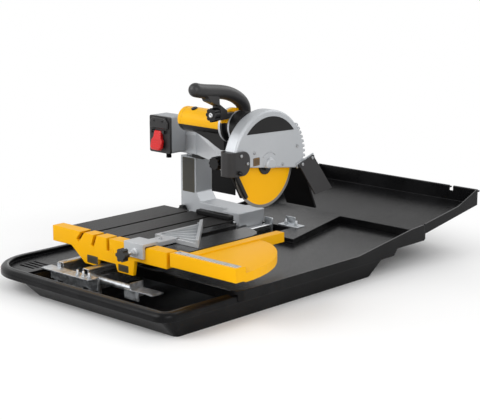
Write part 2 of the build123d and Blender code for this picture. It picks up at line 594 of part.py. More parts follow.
# Switch box: a grey shell on the boss with a black face, a red paddle and the cord's gland below
BOX_LEFT = ARM_LEFT - BOX_OVERHANG
BOX_RIGHT = BOX_LEFT + BOX_W
PADDLE_X0 = BOX_LEFT + PADDLE_INSET
PADDLE_X1 = PADDLE_X0 + PADDLE_W
switch_box = box(BOX_LEFT, BOX_RIGHT, BOX_FRONT, ARM_FRONT, BOX_Z0, BOX_Z1)
switch_box = fillet(switch_box.edges().filter_by(Axis.Y), 6)
switch_box -= box(BOX_LEFT + BOX_WALL, BOX_RIGHT - BOX_WALL, BOX_FRONT - 1, ARM_FRONT - BOX_WALL,
                  BOX_Z0 + BOX_WALL, BOX_Z1 - BOX_WALL)
GLAND_X = (BOX_LEFT + BOX_RIGHT) / 2
GLAND_Y = (BOX_FRONT + ARM_FRONT) / 2
switch_box -= cyl_z(GLAND_X, GLAND_Y, GLAND_D / 2, BOX_Z0 - 1, BOX_Z0 + BOX_WALL + 1)
parts["switch_box"] = switch_box
FACE_FRONT = BOX_FRONT - FACE_T
PADDLE_Y = FACE_FRONT - 5
face = box(BOX_LEFT, BOX_RIGHT, FACE_FRONT, BOX_FRONT, BOX_Z0, BOX_Z1)
face = fillet(face.edges().filter_by(Axis.Y), 6)
for ear_x0, ear_x1 in ((PADDLE_X0 - 6, PADDLE_X0 - GAP), (PADDLE_X1 + GAP, PADDLE_X1 + 6)):
    face += box(ear_x0, ear_x1, PADDLE_Y - 5, FACE_FRONT + 1, PADDLE_HINGE_Z - 6, PADDLE_HINGE_Z + 6)
face += cyl_x(PADDLE_Y, PADDLE_HINGE_Z, PADDLE_PIN_D, PADDLE_X0 - 3, PADDLE_X1 + 3)
for screw_in in FACE_SCREW_IN:
    face -= cyl_y(BOX_LEFT + screw_in, BOX_Z1 - 16, 7, FACE_FRONT - 1, FACE_FRONT + 3)
parts["switch_face"] = face
paddle = prism_x([
    (PADDLE_Y - 4, PADDLE_HINGE_Z), (PADDLE_Y + 4, PADDLE_HINGE_Z), (PADDLE_Y + 2, PADDLE_HINGE_Z - 22),
    (PADDLE_Y - 7, PADDLE_Z0), (PADDLE_Y - 18, PADDLE_Z0), (PADDLE_Y - 10, PADDLE_HINGE_Z - 20)],
    PADDLE_X0, PADDLE_X1)
paddle += cyl_x(PADDLE_Y, PADDLE_HINGE_Z, PADDLE_PIN_D + 4, PADDLE_X0, PADDLE_X1)
paddle -= cyl_x(PADDLE_Y, PADDLE_HINGE_Z, PADDLE_PIN_D + 2 * RUN, PADDLE_X0 - 1, PADDLE_X1 + 1)
parts["switch_paddle"] = paddle
gland = cyl_z(GLAND_X, GLAND_Y, GLAND_D, BOX_Z0 - GLAND_L, BOX_Z0)
gland -= cyl_z(GLAND_X, GLAND_Y, GLAND_D / 2, BOX_Z0 - GLAND_L - 1, BOX_Z0 + 1)
for k in range(4):
    groove_z = BOX_Z0 - GLAND_L + 4 + 4 * k
    gland -= cyl_z(GLAND_X, GLAND_Y, GLAND_D + 1, groove_z, groove_z + 1.6) - cyl_z(
        GLAND_X, GLAND_Y, GLAND_D - 3, groove_z, groove_z + 1.6)
parts["cord_gland"] = gland

# Bevel bolt and knob: the head turns on the bolt, the knob clamps it
KNOB_BACK = EYE_FRONT - 4
BOLT_FRONT = KNOB_BACK - BEVEL_KNOB_T + 6
LUG_BACK = EYE_BACK + 44
parts["bevel_bolt"] = cyl_y(BEVEL_X, BEVEL_Z, BEVEL_PIN_D, BOLT_FRONT, LUG_BACK - 14)
knob = front_knob(BEVEL_X, BEVEL_Z, BEVEL_KNOB_D, BEVEL_KNOB_T, KNOB_BACK, 10, 4)
knob -= cyl_y(BEVEL_X, BEVEL_Z, BEVEL_PIN_D + 2 * RUN, BOLT_FRONT - GAP, KNOB_BACK + 1)
parts["bevel_knob"] = knob

# Drive housing: the cast belt case, carrying the bevel lug and the left spindle bearing
low = (0, ARBOR_Z, DRIVE_LOW_R)
high = (MOTOR_Y, MOTOR_Z, DRIVE_HIGH_R)
low_in = (0, ARBOR_Z, DRIVE_LOW_R - DRIVE_WALL)
high_in = (MOTOR_Y, MOTOR_Z, DRIVE_HIGH_R - DRIVE_WALL)
COVER_X = DRIVE_RIGHT - DRIVE_WALL
housing = hull_x(low, high, DRIVE_LEFT, COVER_X)
housing -= hull_x(low_in, high_in, DRIVE_LEFT + DRIVE_WALL, COVER_X + 1)
housing += cyl_x(0, ARBOR_Z, BEARING_D + 10, DRIVE_LEFT, DRIVE_LEFT + BEARING_W)
housing += cyl_x(MOTOR_Y, MOTOR_Z, ROTOR_D + 14, DRIVE_LEFT, DRIVE_LEFT + BEARING_W)
lug = cyl_y(BEVEL_X, BEVEL_Z, EYE_D, EYE_BACK + GAP, LUG_BACK)
lug -= hull_x(low_in, high_in, DRIVE_LEFT + DRIVE_WALL, COVER_X + 20)
lug -= box(COVER_X, COVER_X + 40, EYE_BACK, 0, BEVEL_Z - EYE_D, BEVEL_Z + EYE_D)
lug -= cyl_x(MOTOR_Y, MOTOR_Z, FLANGE_RING_D, MOTOR_RIGHT, FLANGE_RING_X)
lug -= cyl_x(MOTOR_Y, MOTOR_Z, MOTOR_D + 8, FLANGE_RING_X, DRIVE_LEFT)
housing += lug
housing -= cyl_y(BEVEL_X, BEVEL_Z, BEVEL_PIN_D, EYE_BACK - 1, LUG_BACK - 14)
housing -= cyl_x(0, ARBOR_Z, BEARING_D, DRIVE_LEFT - 1, DRIVE_LEFT + BEARING_W + 1)
housing -= cyl_x(MOTOR_Y, MOTOR_Z, ROTOR_D + 2 * RUN, DRIVE_LEFT - 1, DRIVE_LEFT + BEARING_W + 1)
parts["drive_housing"] = housing

# Drive cover: closes the belt case and carries the right spindle bearing
cover = hull_x(low, high, COVER_X, DRIVE_RIGHT)
cover += cyl_x(0, ARBOR_Z, BEARING_D + 10, DRIVE_RIGHT - BEARING_W, DRIVE_RIGHT)
cover -= cyl_x(0, ARBOR_Z, BEARING_D, DRIVE_RIGHT - BEARING_W - 1, DRIVE_RIGHT + 1)
parts["drive_cover"] = cover

# Spindle: shaft with its inner flange, bearings, pulley, flanged nut and blade
BLADE_R = BLADE_D / 2
for name, x0 in (("bearing_left", DRIVE_LEFT), ("bearing_right", DRIVE_RIGHT - BEARING_W)):
    ring = cyl_x(0, ARBOR_Z, BEARING_D, x0, x0 + BEARING_W)
    parts[name] = ring - cyl_x(0, ARBOR_Z, SPINDLE_D + 2 * RUN, x0 - 1, x0 + BEARING_W + 1)
HALF_CORE = BLADE_CORE_T / 2
SHOULDER_X = -HALF_CORE - FLANGE_T
NUT_X = HALF_CORE + FLANGE_T
spindle = cyl_x(0, ARBOR_Z, SPINDLE_D, DRIVE_LEFT + 1, SHOULDER_X)
spindle += cyl_x(0, ARBOR_Z, FLANGE_D, SHOULDER_X, -HALF_CORE)
spindle += cyl_x(0, ARBOR_Z, ARBOR_D, SHOULDER_X, NUT_X + ARBOR_NUT_T + 1)
parts["spindle"] = spindle
pulley = cyl_x(0, ARBOR_Z, PULLEY_LARGE_D, PULLEY_X0, PULLEY_X1)
parts["spindle_pulley"] = pulley - cyl_x(0, ARBOR_Z, SPINDLE_D, PULLEY_X0 - 1, PULLEY_X1 + 1)
washer = cyl_x(0, ARBOR_Z, FLANGE_D, HALF_CORE, NUT_X)
hexagon = Plane.YZ.offset(NUT_X) * Pos(0, ARBOR_Z) * RegularPolygon(ARBOR_NUT_D / 2, 6)
nut = washer + extrude(hexagon, ARBOR_NUT_T)
parts["arbor_nut"] = nut - cyl_x(0, ARBOR_Z, ARBOR_D, HALF_CORE - 1, NUT_X + ARBOR_NUT_T + 1)
CORE_D = BLADE_D - 2 * BLADE_RIM_W
core = cyl_x(0, ARBOR_Z, CORE_D, -HALF_CORE, HALF_CORE)
parts["blade_core"] = core - cyl_x(0, ARBOR_Z, ARBOR_D, -10, 10)
ring = cyl_x(0, ARBOR_Z, BLADE_D, -BLADE_RIM_T / 2, BLADE_RIM_T / 2)
parts["blade_rim"] = ring - cyl_x(0, ARBOR_Z, CORE_D, -10, 10)

# Belt: a flat ribbed loop round both pulleys
large = (0, ARBOR_Z, PULLEY_LARGE_D / 2 + BELT_GAP)
small = (MOTOR_Y, MOTOR_Z, PULLEY_SMALL_D / 2 + BELT_GAP)
large_out = (0, ARBOR_Z, large[2] + BELT_T)
small_out = (MOTOR_Y, MOTOR_Z, small[2] + BELT_T)
loop = hull_x(large_out, small_out, PULLEY_X0 + 0.5, PULLEY_X1 - 0.5)
parts["drive_belt"] = loop - hull_x(large, small, PULLEY_X0, PULLEY_X1)

# Motor: rotor and pulley turning inside the stator, with a split shell, end cap and flange ring
CORE_X = (MOTOR_LEFT + MOTOR_RIGHT) / 2
CAP_X = MOTOR_LEFT - CAP_L
rotor = cyl_x(MOTOR_Y, MOTOR_Z, ROTOR_D, CAP_X + 8, PULLEY_X1 + 2)
rotor += cyl_x(MOTOR_Y, MOTOR_Z, ROTOR_CORE_D, CORE_X - ROTOR_CORE_L / 2, CORE_X + ROTOR_CORE_L / 2)
parts["rotor"] = rotor
pulley = cyl_x(MOTOR_Y, MOTOR_Z, PULLEY_SMALL_D, PULLEY_X0, PULLEY_X1)
parts["motor_pulley"] = pulley - cyl_x(MOTOR_Y, MOTOR_Z, ROTOR_D, PULLEY_X0 - 1, PULLEY_X1 + 1)
MOTOR_BORE = MOTOR_D - 2 * MOTOR_WALL
stator = cyl_x(MOTOR_Y, MOTOR_Z, MOTOR_BORE, CORE_X - ROTOR_CORE_L / 2, CORE_X + ROTOR_CORE_L / 2)
stator -= cyl_x(MOTOR_Y, MOTOR_Z, ROTOR_CORE_D + 2 * STATOR_BORE_GAP, MOTOR_LEFT, MOTOR_RIGHT)
parts["stator"] = stator
shell = cyl_x(MOTOR_Y, MOTOR_Z, MOTOR_D, MOTOR_LEFT, MOTOR_RIGHT)
shell -= cyl_x(MOTOR_Y, MOTOR_Z, MOTOR_BORE, MOTOR_LEFT - 1, MOTOR_RIGHT + 1)
below = box(MOTOR_LEFT - 1, MOTOR_RIGHT + 1, MOTOR_Y - MOTOR_D, MOTOR_Y + MOTOR_D,
            MOTOR_Z - MOTOR_D, MOTOR_SPLIT_Z)
parts["motor_shell"] = shell - below
belly = prism_y([
    (MOTOR_LEFT + 8, MOTOR_SPLIT_Z), (MOTOR_LEFT + 30, BELLY_LOW + 50), (MOTOR_LEFT + 102, BELLY_LOW + 26),
    (MOTOR_LEFT + 130, BELLY_LOW + 12), (MOTOR_RIGHT - 14, BELLY_LOW), (MOTOR_RIGHT, BELLY_LOW),
    (MOTOR_RIGHT, MOTOR_SPLIT_Z)], MOTOR_Y - BELLY_HALF_W, MOTOR_Y + BELLY_HALF_W)
belly -= cyl_x(MOTOR_Y, MOTOR_Z, MOTOR_D - 2, MOTOR_LEFT - 1, MOTOR_RIGHT + 1)
parts["motor_belly"] = (shell & below) + belly
cap = cyl_x(MOTOR_Y, MOTOR_Z, MOTOR_D, CAP_X, MOTOR_LEFT)
cap = fillet(cap.edges().sort_by(Axis.X)[0], 12)
parts["motor_cap"] = cap - cyl_x(MOTOR_Y, MOTOR_Z, ROTOR_D + 2 * RUN, CAP_X + 7, MOTOR_LEFT + 1)
flange = cyl_x(MOTOR_Y, MOTOR_Z, FLANGE_RING_D, MOTOR_RIGHT, FLANGE_RING_X)
flange += cyl_x(MOTOR_Y, MOTOR_Z, MOTOR_D + 8, FLANGE_RING_X, DRIVE_LEFT)
parts["motor_ring"] = flange - cyl_x(MOTOR_Y, MOTOR_Z, ROTOR_D + 8, MOTOR_RIGHT - 1, DRIVE_LEFT + 1)

# Blade guard: a deep half-round cover open along its sloping lower edge
GUARD_R = BLADE_R + GUARD_CLEAR
GUARD_LEFT = DRIVE_RIGHT
GUARD_Z = ARBOR_Z + GUARD_RISE
guard = cyl_x(GUARD_Y, GUARD_Z, 2 * GUARD_R, GUARD_LEFT, GUARD_RIGHT)
guard = fillet(guard.edges().filter_by(GeomType.CIRCLE).sort_by(Axis.X)[-1], GUARD_EDGE_R)
boss = cyl_x(0, ARBOR_Z + GUARD_BOSS_UP, GUARD_BOSS_D, GUARD_RIGHT - 1, GUARD_RIGHT + GUARD_BOSS_L)
guard += fillet(boss.edges().sort_by(Axis.X)[-1], 7)
for k in range(GUARD_RIB_COUNT):
    guard += Pos(0, GUARD_Y, GUARD_Z) * Rot(-5 + 5.4 * k, 0, 0) * box(
        GUARD_LEFT + 8, GUARD_RIGHT - 2, GUARD_R - 9, GUARD_R + 6, -4, 4)
guard -= cyl_x(GUARD_Y, GUARD_Z, 2 * (GUARD_R - GUARD_WALL),
               GUARD_LEFT + GUARD_WALL, GUARD_RIGHT - GUARD_WALL)
guard -= prism_x([
    (-GUARD_R - 20, GUARD_LOW_FRONT + 3), (GUARD_R + 20, GUARD_LOW_BACK - 3), (GUARD_R + 20, 0),
    (-GUARD_R - 20, 0)], GUARD_LEFT - 1, GUARD_RIGHT + 60)
guard -= cyl_x(0, ARBOR_Z, BEARING_D + 4, GUARD_LEFT - 1, GUARD_LEFT + GUARD_WALL + 1)
parts["blade_guard"] = guard

# Nozzle block: wraps the guard's front and carries the nozzles' cross pin
BLOCK_FRONT = -BLADE_R - BLOCK_OUT
BLOCK_BACK = BLOCK_FRONT + BLOCK_L
NOZZLE_PIN_Y = -BLADE_R - NOZZLE_PIN_OUT
NOZZLE_TIP_Y = -BLADE_R + NOZZLE_TIP_IN
NOZZLE_TIP_Z = ARBOR_Z - BLADE_R + NOZZLE_TIP_UP
block = box(GUARD_LEFT - BLOCK_SIDE, GUARD_RIGHT + BLOCK_SIDE, BLOCK_FRONT, BLOCK_BACK, BLOCK_LOW, BLOCK_TOP)
block = fillet(block.edges().filter_by(Axis.Z).sort_by(Axis.Y)[0:2], BLOCK_CORNER_R)
block = fillet(block.edges().filter_by(Axis.X).sort_by(Axis.Y)[-2:], BLOCK_END_R)
block -= cyl_x(GUARD_Y, GUARD_Z, 2 * GUARD_R, GUARD_LEFT, GUARD_RIGHT)
block -= box(GUARD_LEFT, GUARD_RIGHT, BLOCK_FRONT + BLOCK_NOSE, BLOCK_BACK + 1,
             BLOCK_LOW - 1, GUARD_LOW_FRONT - 2)
block += cyl_x(NOZZLE_PIN_Y, NOZZLE_PIN_Z, NOZZLE_PIN_D, GUARD_LEFT - 1, GUARD_RIGHT + 1)
parts["nozzle_block"] = block
aim_y = NOZZLE_TIP_Y - NOZZLE_PIN_Y
aim_z = NOZZLE_TIP_Z - NOZZLE_PIN_Z
aim = (aim_y ** 2 + aim_z ** 2) ** 0.5
across_y = -aim_z / aim * NOZZLE_EYE_D * 0.32
across_z = aim_y / aim * NOZZLE_EYE_D * 0.32
for name, x0 in (("nozzle_left", -NOZZLE_OFF - NOZZLE_W), ("nozzle_right", NOZZLE_OFF)):
    nozzle = cyl_x(NOZZLE_PIN_Y, NOZZLE_PIN_Z, NOZZLE_EYE_D, x0, x0 + NOZZLE_W)
    nozzle += prism_x([
        (NOZZLE_PIN_Y + across_y, NOZZLE_PIN_Z + across_z),
        (NOZZLE_TIP_Y + across_y, NOZZLE_TIP_Z + across_z),
        (NOZZLE_TIP_Y - across_y, NOZZLE_TIP_Z - across_z),
        (NOZZLE_PIN_Y - across_y, NOZZLE_PIN_Z - across_z)],
        x0, x0 + NOZZLE_W)
    nozzle -= cyl_x(NOZZLE_PIN_Y, NOZZLE_PIN_Z, NOZZLE_PIN_D + 2 * RUN, x0 - 1, x0 + NOZZLE_W + 1)
    parts[name] = nozzle

# Handle: a bowed grip over the motor ring with a front leg for the star knob
GRIP_Z = MOTOR_Z + GRIP_ROOT_UP
LEG_X0 = HANDLE_X - HANDLE_LEG_W / 2
LEG_X1 = HANDLE_X + HANDLE_LEG_W / 2
grip_path = Plane.YZ.offset(HANDLE_X) * Spline(
    (GRIP_ROOT_Y, GRIP_Z), (GRIP_ROOT_Y + 2, GRIP_Z + 0.37 * GRIP_RISE),
    (GRIP_ROOT_Y - 0.155 * GRIP_REACH, GRIP_Z + 0.65 * GRIP_RISE),
    (GRIP_ROOT_Y - 0.515 * GRIP_REACH, GRIP_Z + 0.86 * GRIP_RISE),
    (GRIP_ROOT_Y - GRIP_REACH, GRIP_Z + GRIP_RISE))
grip_start = Plane(grip_path @ 0, z_dir=grip_path % 0)
handle = sweep(grip_start * Circle(HANDLE_W / 2), path=grip_path)
handle += Pos(*(grip_path @ 1)) * Sphere(HANDLE_W / 2)
handle += prism_x([
    (LEG_FRONT - 62, GRIP_Z + 96), (LEG_FRONT - 6, GRIP_Z + 86), (LEG_FRONT - 4, STAR_Z + 32),
    (LEG_BACK, STAR_Z + 10), (LEG_BACK, STAR_Z - 16), (LEG_FRONT, STAR_Z - 16),
    (LEG_FRONT, STAR_Z + 24), (LEG_FRONT - 40, STAR_Z + 42)], LEG_X0, LEG_X1)
handle += box(LEG_X0, LEG_X1, LEG_BACK - 2, MOTOR_Y - 10, STAR_Z - 14, STAR_Z + 2)
handle -= cyl_x(MOTOR_Y, MOTOR_Z, FLANGE_RING_D, MOTOR_RIGHT - 20, FLANGE_RING_X)
handle -= cyl_x(MOTOR_Y, MOTOR_Z, MOTOR_D + 8, FLANGE_RING_X, DRIVE_LEFT)
handle -= hull_x(low, high, DRIVE_LEFT, DRIVE_LEFT + 40)
STAR_BACK = LEG_FRONT - 3
handle -= cyl_y(HANDLE_X, STAR_Z, STAR_PIN_D + 2 * RUN, LEG_FRONT - 1, LEG_FRONT + 22)
parts["handle"] = handle
star = front_knob(HANDLE_X, STAR_Z, STAR_D, STAR_T, STAR_BACK, 8, 5)
star += cyl_y(HANDLE_X, STAR_Z, STAR_PIN_D, STAR_BACK - 1, LEG_FRONT + 20)
parts["star_knob"] = star

# Rubber flaps: a leaning one on a strip at the guard's rear right, and a skirt behind the blade
FLAP_X = GUARD_RIGHT + 3
EDGE_BACK = FLAP_Y + FLAP_L
EDGE_HIGH = FLAP_Z + FLAP_CLIMB
parts["flap_bracket"] = prism_x([
    (FLAP_Y - 11, FLAP_Z + 7), (EDGE_BACK + 2, EDGE_HIGH + 11), (EDGE_BACK + 5, EDGE_HIGH - 3),
    (FLAP_Y - 7, FLAP_Z - 7)], GUARD_RIGHT, FLAP_X)
root = Vector(FLAP_X, FLAP_Y, FLAP_Z)
edge = Vector(0, FLAP_L, FLAP_CLIMB)
hang = Vector(FLAP_OUT, FLAP_SWEEP, -FLAP_FALL)
sheet = make_face(Polyline(root, root + edge, root + edge * 1.04 + hang * 1.126, root + hang, close=True))
flap = extrude(sheet, FLAP_T, dir=(1, 0, 0))
flap += prism_x([
    (FLAP_Y - 4, FLAP_Z + 4), (EDGE_BACK, EDGE_HIGH + 5), (EDGE_BACK + 3, EDGE_HIGH - 6),
    (FLAP_Y, FLAP_Z - 6)], FLAP_X, FLAP_X + FLAP_T)
parts["splash_flap"] = flap
SKIRT_Y = GUARD_Y + GUARD_R - 2
SKIRT_LOW = SKIRT_TOP - SKIRT_DROP
SKIRT_BACK = SKIRT_Y + SKIRT_REACH
skirt = prism_x([
    (SKIRT_Y - 10, SKIRT_TOP), (SKIRT_Y + 8, SKIRT_TOP), (SKIRT_Y + 6, SKIRT_TOP - 34),
    (SKIRT_BACK + 6, SKIRT_LOW + 2), (SKIRT_BACK, SKIRT_LOW), (SKIRT_Y, SKIRT_TOP - 34)],
    SKIRT_X0, SKIRT_X1)
skirt -= cyl_x(GUARD_Y, GUARD_Z, 2 * GUARD_R, SKIRT_X0 - 1, SKIRT_X1 + 1)
parts["splash_skirt"] = skirt - guard

# Cart table: a plate with a rounded right rear corner, rubber mats and a groove for the bevelled blade
PLATE_TOP = TABLE_TOP - MAT_T
PLATE_LOW = PLATE_TOP - PLATE_T
TABLE_RIGHT = -KERF_HALF
PLAIN_LEFT = BEVEL_SLOT_X0 - PLAIN_W
table_points = [
    (TABLE_LEFT, FENCE_BACK), (TABLE_RIGHT, FENCE_BACK), (TABLE_RIGHT, TABLE_BACK - 120),
    (TABLE_RIGHT - 8, TABLE_BACK - 92), (TABLE_RIGHT - 26, TABLE_BACK - 70),
    (TABLE_RIGHT - 55, TABLE_BACK - 55), (TABLE_RIGHT - 90, TABLE_BACK - 50),
    (PLAIN_LEFT - MAT_GAP / 2, TABLE_BACK - 50), (PLAIN_LEFT - MAT_GAP / 2, TABLE_BACK),
    (TABLE_LEFT, TABLE_BACK)]
plate = prism_z(table_points, PLATE_LOW, PLATE_TOP)
mat_field = prism_z(table_points, PLATE_TOP, TABLE_TOP)
plate += mat_field & box(PLAIN_LEFT, TABLE_RIGHT, FENCE_BACK, TABLE_BACK, PLATE_TOP, TABLE_TOP)
plate -= box(BEVEL_SLOT_X0, BEVEL_SLOT_X1, FENCE_BACK - 1, TABLE_BACK + 1, PLATE_TOP - 4, TABLE_TOP + 1)
parts["table_plate"] = plate
MAT_MIDDLE_X = TABLE_LEFT + MAT_LEFT_W + MAT_GAP
MAT_RIGHT_X = MAT_MIDDLE_X + MAT_MIDDLE_W + MAT_GAP
mats = {
    "mat_left": (TABLE_LEFT, TABLE_LEFT + MAT_LEFT_W),
    "mat_middle": (MAT_MIDDLE_X, MAT_MIDDLE_X + MAT_MIDDLE_W),
    "mat_right": (MAT_RIGHT_X, PLAIN_LEFT - MAT_GAP),
}
for name, (x0, x1) in mats.items():
    parts[name] = mat_field & box(x0, x1, FENCE_BACK + 2, TABLE_BACK - 2, PLATE_TOP, TABLE_TOP)

# Cart truck and rollers: two hanging channels with axles, a roller at each end of each
ROLLER_Z = RAIL_TOP + ROLLER_LIFT + ROLLER_D / 2
truck = box(RAIL_X[0], RAIL_X[1], -260, -220, PLATE_LOW - 8, PLATE_LOW)
for rail_x in RAIL_X:
    for side in (-1, 1):
        cheek = rail_x + side * (ROLLER_W / 2 + 3 + TRUCK_PLATE / 2)
        truck += box(cheek - TRUCK_PLATE / 2, cheek + TRUCK_PLATE / 2, TRUCK_FRONT, TRUCK_BACK,
                     TRUCK_LOW, PLATE_LOW)
    for axle_y in ROLLER_Y:
        reach = ROLLER_W / 2 + 3 + TRUCK_PLATE
        truck += cyl_x(axle_y, ROLLER_Z, AXLE_D, rail_x - reach, rail_x + reach)
parts["cart_truck"] = truck
for side_name, rail_x in zip(("left", "right"), RAIL_X):
    for end_name, axle_y in zip(("front", "back"), ROLLER_Y):
        roller = cyl_x(axle_y, ROLLER_Z, ROLLER_D, rail_x - ROLLER_W / 2, rail_x + ROLLER_W / 2)
        roller -= cyl_x(axle_y, ROLLER_Z, AXLE_D + 2 * RUN, rail_x - ROLLER_W, rail_x + ROLLER_W)
        parts["roller_" + side_name + "_" + end_name] = roller

# Fence: the yellow rail across the cart's front, with blade notches and two legs
fence = box(TABLE_LEFT + 3, TABLE_RIGHT, FENCE_FRONT, FENCE_BACK, FENCE_BOTTOM, FENCE_TOP)
fence += prism_y([
    (TABLE_LEFT + 90, FENCE_BOTTOM + 5), (TABLE_RIGHT - 133, FENCE_BOTTOM + 5),
    (TABLE_RIGHT - 142, FENCE_LEG_Z), (TABLE_RIGHT - 208, FENCE_LEG_Z),
    (TABLE_RIGHT - 218, FENCE_LEG_Z + 22), (TABLE_RIGHT - 297, FENCE_LEG_Z + 22),
    (TABLE_RIGHT - 299, FENCE_LEG_Z), (TABLE_RIGHT - 355, FENCE_LEG_Z), (TABLE_LEFT + 90, FENCE_BOTTOM)],
    FENCE_FRONT, FENCE_FRONT + FENCE_SKIN)
fence -= box(TABLE_LEFT + 12, TABLE_RIGHT - 9, FENCE_FRONT + FENCE_SKIN, FENCE_BACK - 9,
             FENCE_BOTTOM - 1, FENCE_TOP - 8)
for notch_x, lean in ((-372, 40), (-314, 22), (-257, 0)):
    fence -= Pos(notch_x, FENCE_FRONT, FENCE_TOP) * Rot(0, lean, 0) * box(
        -NOTCH_W / 2, NOTCH_W / 2, -1, FENCE_BACK - FENCE_FRONT + 1, NOTCH_Z - FENCE_TOP, 20)
BEVEL_NOTCH_X = (BEVEL_SLOT_X0 + BEVEL_SLOT_X1) / 2
fence -= Pos(BEVEL_NOTCH_X, FENCE_FRONT, PLATE_TOP) * Rot(0, 45, 0) * box(
    -BEVEL_NOTCH_HALF, BEVEL_NOTCH_HALF, -1, FENCE_BACK - FENCE_FRONT + 1, -2, 60)
parts["fence"] = fence

# Side extension: the yellow wing right of the kerf, joined to the table by two bars below the blade
EXT_LEFT = KERF_HALF
EXT_BACK = FENCE_FRONT + EXT_FENCE_T
wing = box(EXT_LEFT, EXT_RIGHT, FENCE_FRONT, EXT_BACK, EXT_BOTTOM, EXT_TOP)
wing += box(EXT_LEFT, EXT_LEFT + EXT_BAR_W, EXT_BACK - 1, EXT_BAR_BACK, DECK_TOP - DECK_T, DECK_TOP + 4)
DECK_BACK = EXT_BAR_BACK - 110
DECK_LEFT = EXT_LEFT + EXT_BAR_W - 1
deck_points = [(DECK_LEFT, EXT_BACK - 1), (EXT_RIGHT, EXT_BACK - 1)]
for k in range(1, 12):
    turn = radians(90 * k / 12)
    deck_points.append((DECK_LEFT + (EXT_RIGHT - DECK_LEFT) * cos(turn) ** DECK_ROUND,
                        EXT_BACK + (DECK_BACK - EXT_BACK) * sin(turn) ** DECK_ROUND))
deck_points.append((DECK_LEFT, DECK_BACK))
deck = make_face(Polyline(*deck_points, close=True))
wing += extrude(Pos(0, 0, DECK_TOP - DECK_T) * deck, DECK_T)
wing -= extrude(Pos(0, 0, DECK_TOP - DECK_T - 1) * offset(deck, -8), DECK_T - 5)
for rod_y in EXT_ROD_Y:
    wing += box(TABLE_RIGHT - 60, EXT_LEFT + 10, rod_y, rod_y + EXT_ROD_W, PLATE_LOW - EXT_ROD_H, PLATE_LOW)
parts["side_extension"] = wing

# Edge guide: a clamp saddle on the fence and a ribbed triangle reaching over the table
CLAMP_FRONT = FENCE_FRONT - GAP - CLAMP_T
CLAMP_BACK = FENCE_BACK + GAP + CLAMP_T
CLAMP_TOP = FENCE_TOP + GAP + CLAMP_T
SLIDE_Z = TABLE_TOP + GAP
clamp = box(CLAMP_LEFT, CLAMP_RIGHT, CLAMP_FRONT, CLAMP_BACK, FENCE_TOP + GAP, CLAMP_TOP)
clamp += box(CLAMP_LEFT, CLAMP_RIGHT, CLAMP_FRONT, FENCE_FRONT - GAP, CLAMP_LOW, CLAMP_TOP)
clamp += box(CLAMP_LEFT, CLAMP_RIGHT, FENCE_BACK + GAP, CLAMP_BACK, SLIDE_Z, CLAMP_TOP)
clamp -= cyl_y(GUIDE_KNOB_X, GUIDE_KNOB_Z, GUIDE_STUD_D + 2 * RUN, CLAMP_FRONT - 1, FENCE_FRONT)
parts["guide_clamp"] = clamp
GUIDE_LEFT = GUIDE_RIGHT - GUIDE_LEG
GUIDE_Y = CLAMP_BACK + GUIDE_SET
GUIDE_BACK = GUIDE_Y + GUIDE_DEPTH
GUIDE_TOP = SLIDE_Z + GUIDE_H
LIP_TOP = SLIDE_Z + GUIDE_LIP_H
triangle = [(GUIDE_LEFT, GUIDE_Y), (GUIDE_RIGHT, GUIDE_Y), (GUIDE_LEFT, GUIDE_BACK)]
field = prism_z(triangle, SLIDE_Z, LIP_TOP)
guide = field & box(GUIDE_LEFT, GUIDE_RIGHT, GUIDE_Y, GUIDE_BACK, SLIDE_Z, SLIDE_Z + GUIDE_WEB)
guide += field & box(GUIDE_LEFT, GUIDE_RIGHT, GUIDE_Y, GUIDE_Y + GUIDE_BAR, SLIDE_Z, GUIDE_TOP)
guide += field & box(GUIDE_LEFT, GUIDE_LEFT + GUIDE_BAR, GUIDE_Y, GUIDE_BACK, SLIDE_Z, GUIDE_TOP)
guide += field - Pos(-GUIDE_BAR * 1.414, 0, 0) * prism_z([
    (GUIDE_LEFT - GUIDE_LEG, GUIDE_Y - GUIDE_DEPTH), (GUIDE_RIGHT + GUIDE_LEG, GUIDE_Y - GUIDE_DEPTH),
    (GUIDE_LEFT - GUIDE_LEG, GUIDE_BACK + GUIDE_DEPTH)], SLIDE_Z - 1, LIP_TOP + 1)
for k in range(GUIDE_RIBS):
    share = (k + 1) / (GUIDE_RIBS + 1)
    end_x = GUIDE_RIGHT - GUIDE_LEG * share
    end_y = GUIDE_Y + GUIDE_DEPTH * share
    guide += field & prism_z([
        (GUIDE_LEFT, GUIDE_Y), (end_x + 2, end_y - 2), (end_x - 2, end_y + 2)], SLIDE_Z, GUIDE_TOP)
guide += box(CLAMP_LEFT + 10, CLAMP_RIGHT - 18, CLAMP_BACK, GUIDE_Y + 2, SLIDE_Z, GUIDE_TOP)
parts["guide_casting"] = guide
KNOB_Y = CLAMP_FRONT - GUIDE_STUD_OUT
knob = front_knob(GUIDE_KNOB_X, GUIDE_KNOB_Z, GUIDE_KNOB_D, GUIDE_KNOB_T, KNOB_Y, 6, 7)
knob += cyl_y(GUIDE_KNOB_X, GUIDE_KNOB_Z, GUIDE_STUD_D, KNOB_Y - 1, FENCE_FRONT - GAP - 1)
parts["guide_knob"] = knob

# Export, moved so that the middle of the pan's base is the origin
os.makedirs("parts", exist_ok=True)
for name, solid in parts.items():
    placed = Pos(DATUM_X, DATUM_Y, 0) * solid
    export_step(placed, "parts/" + name + ".step")
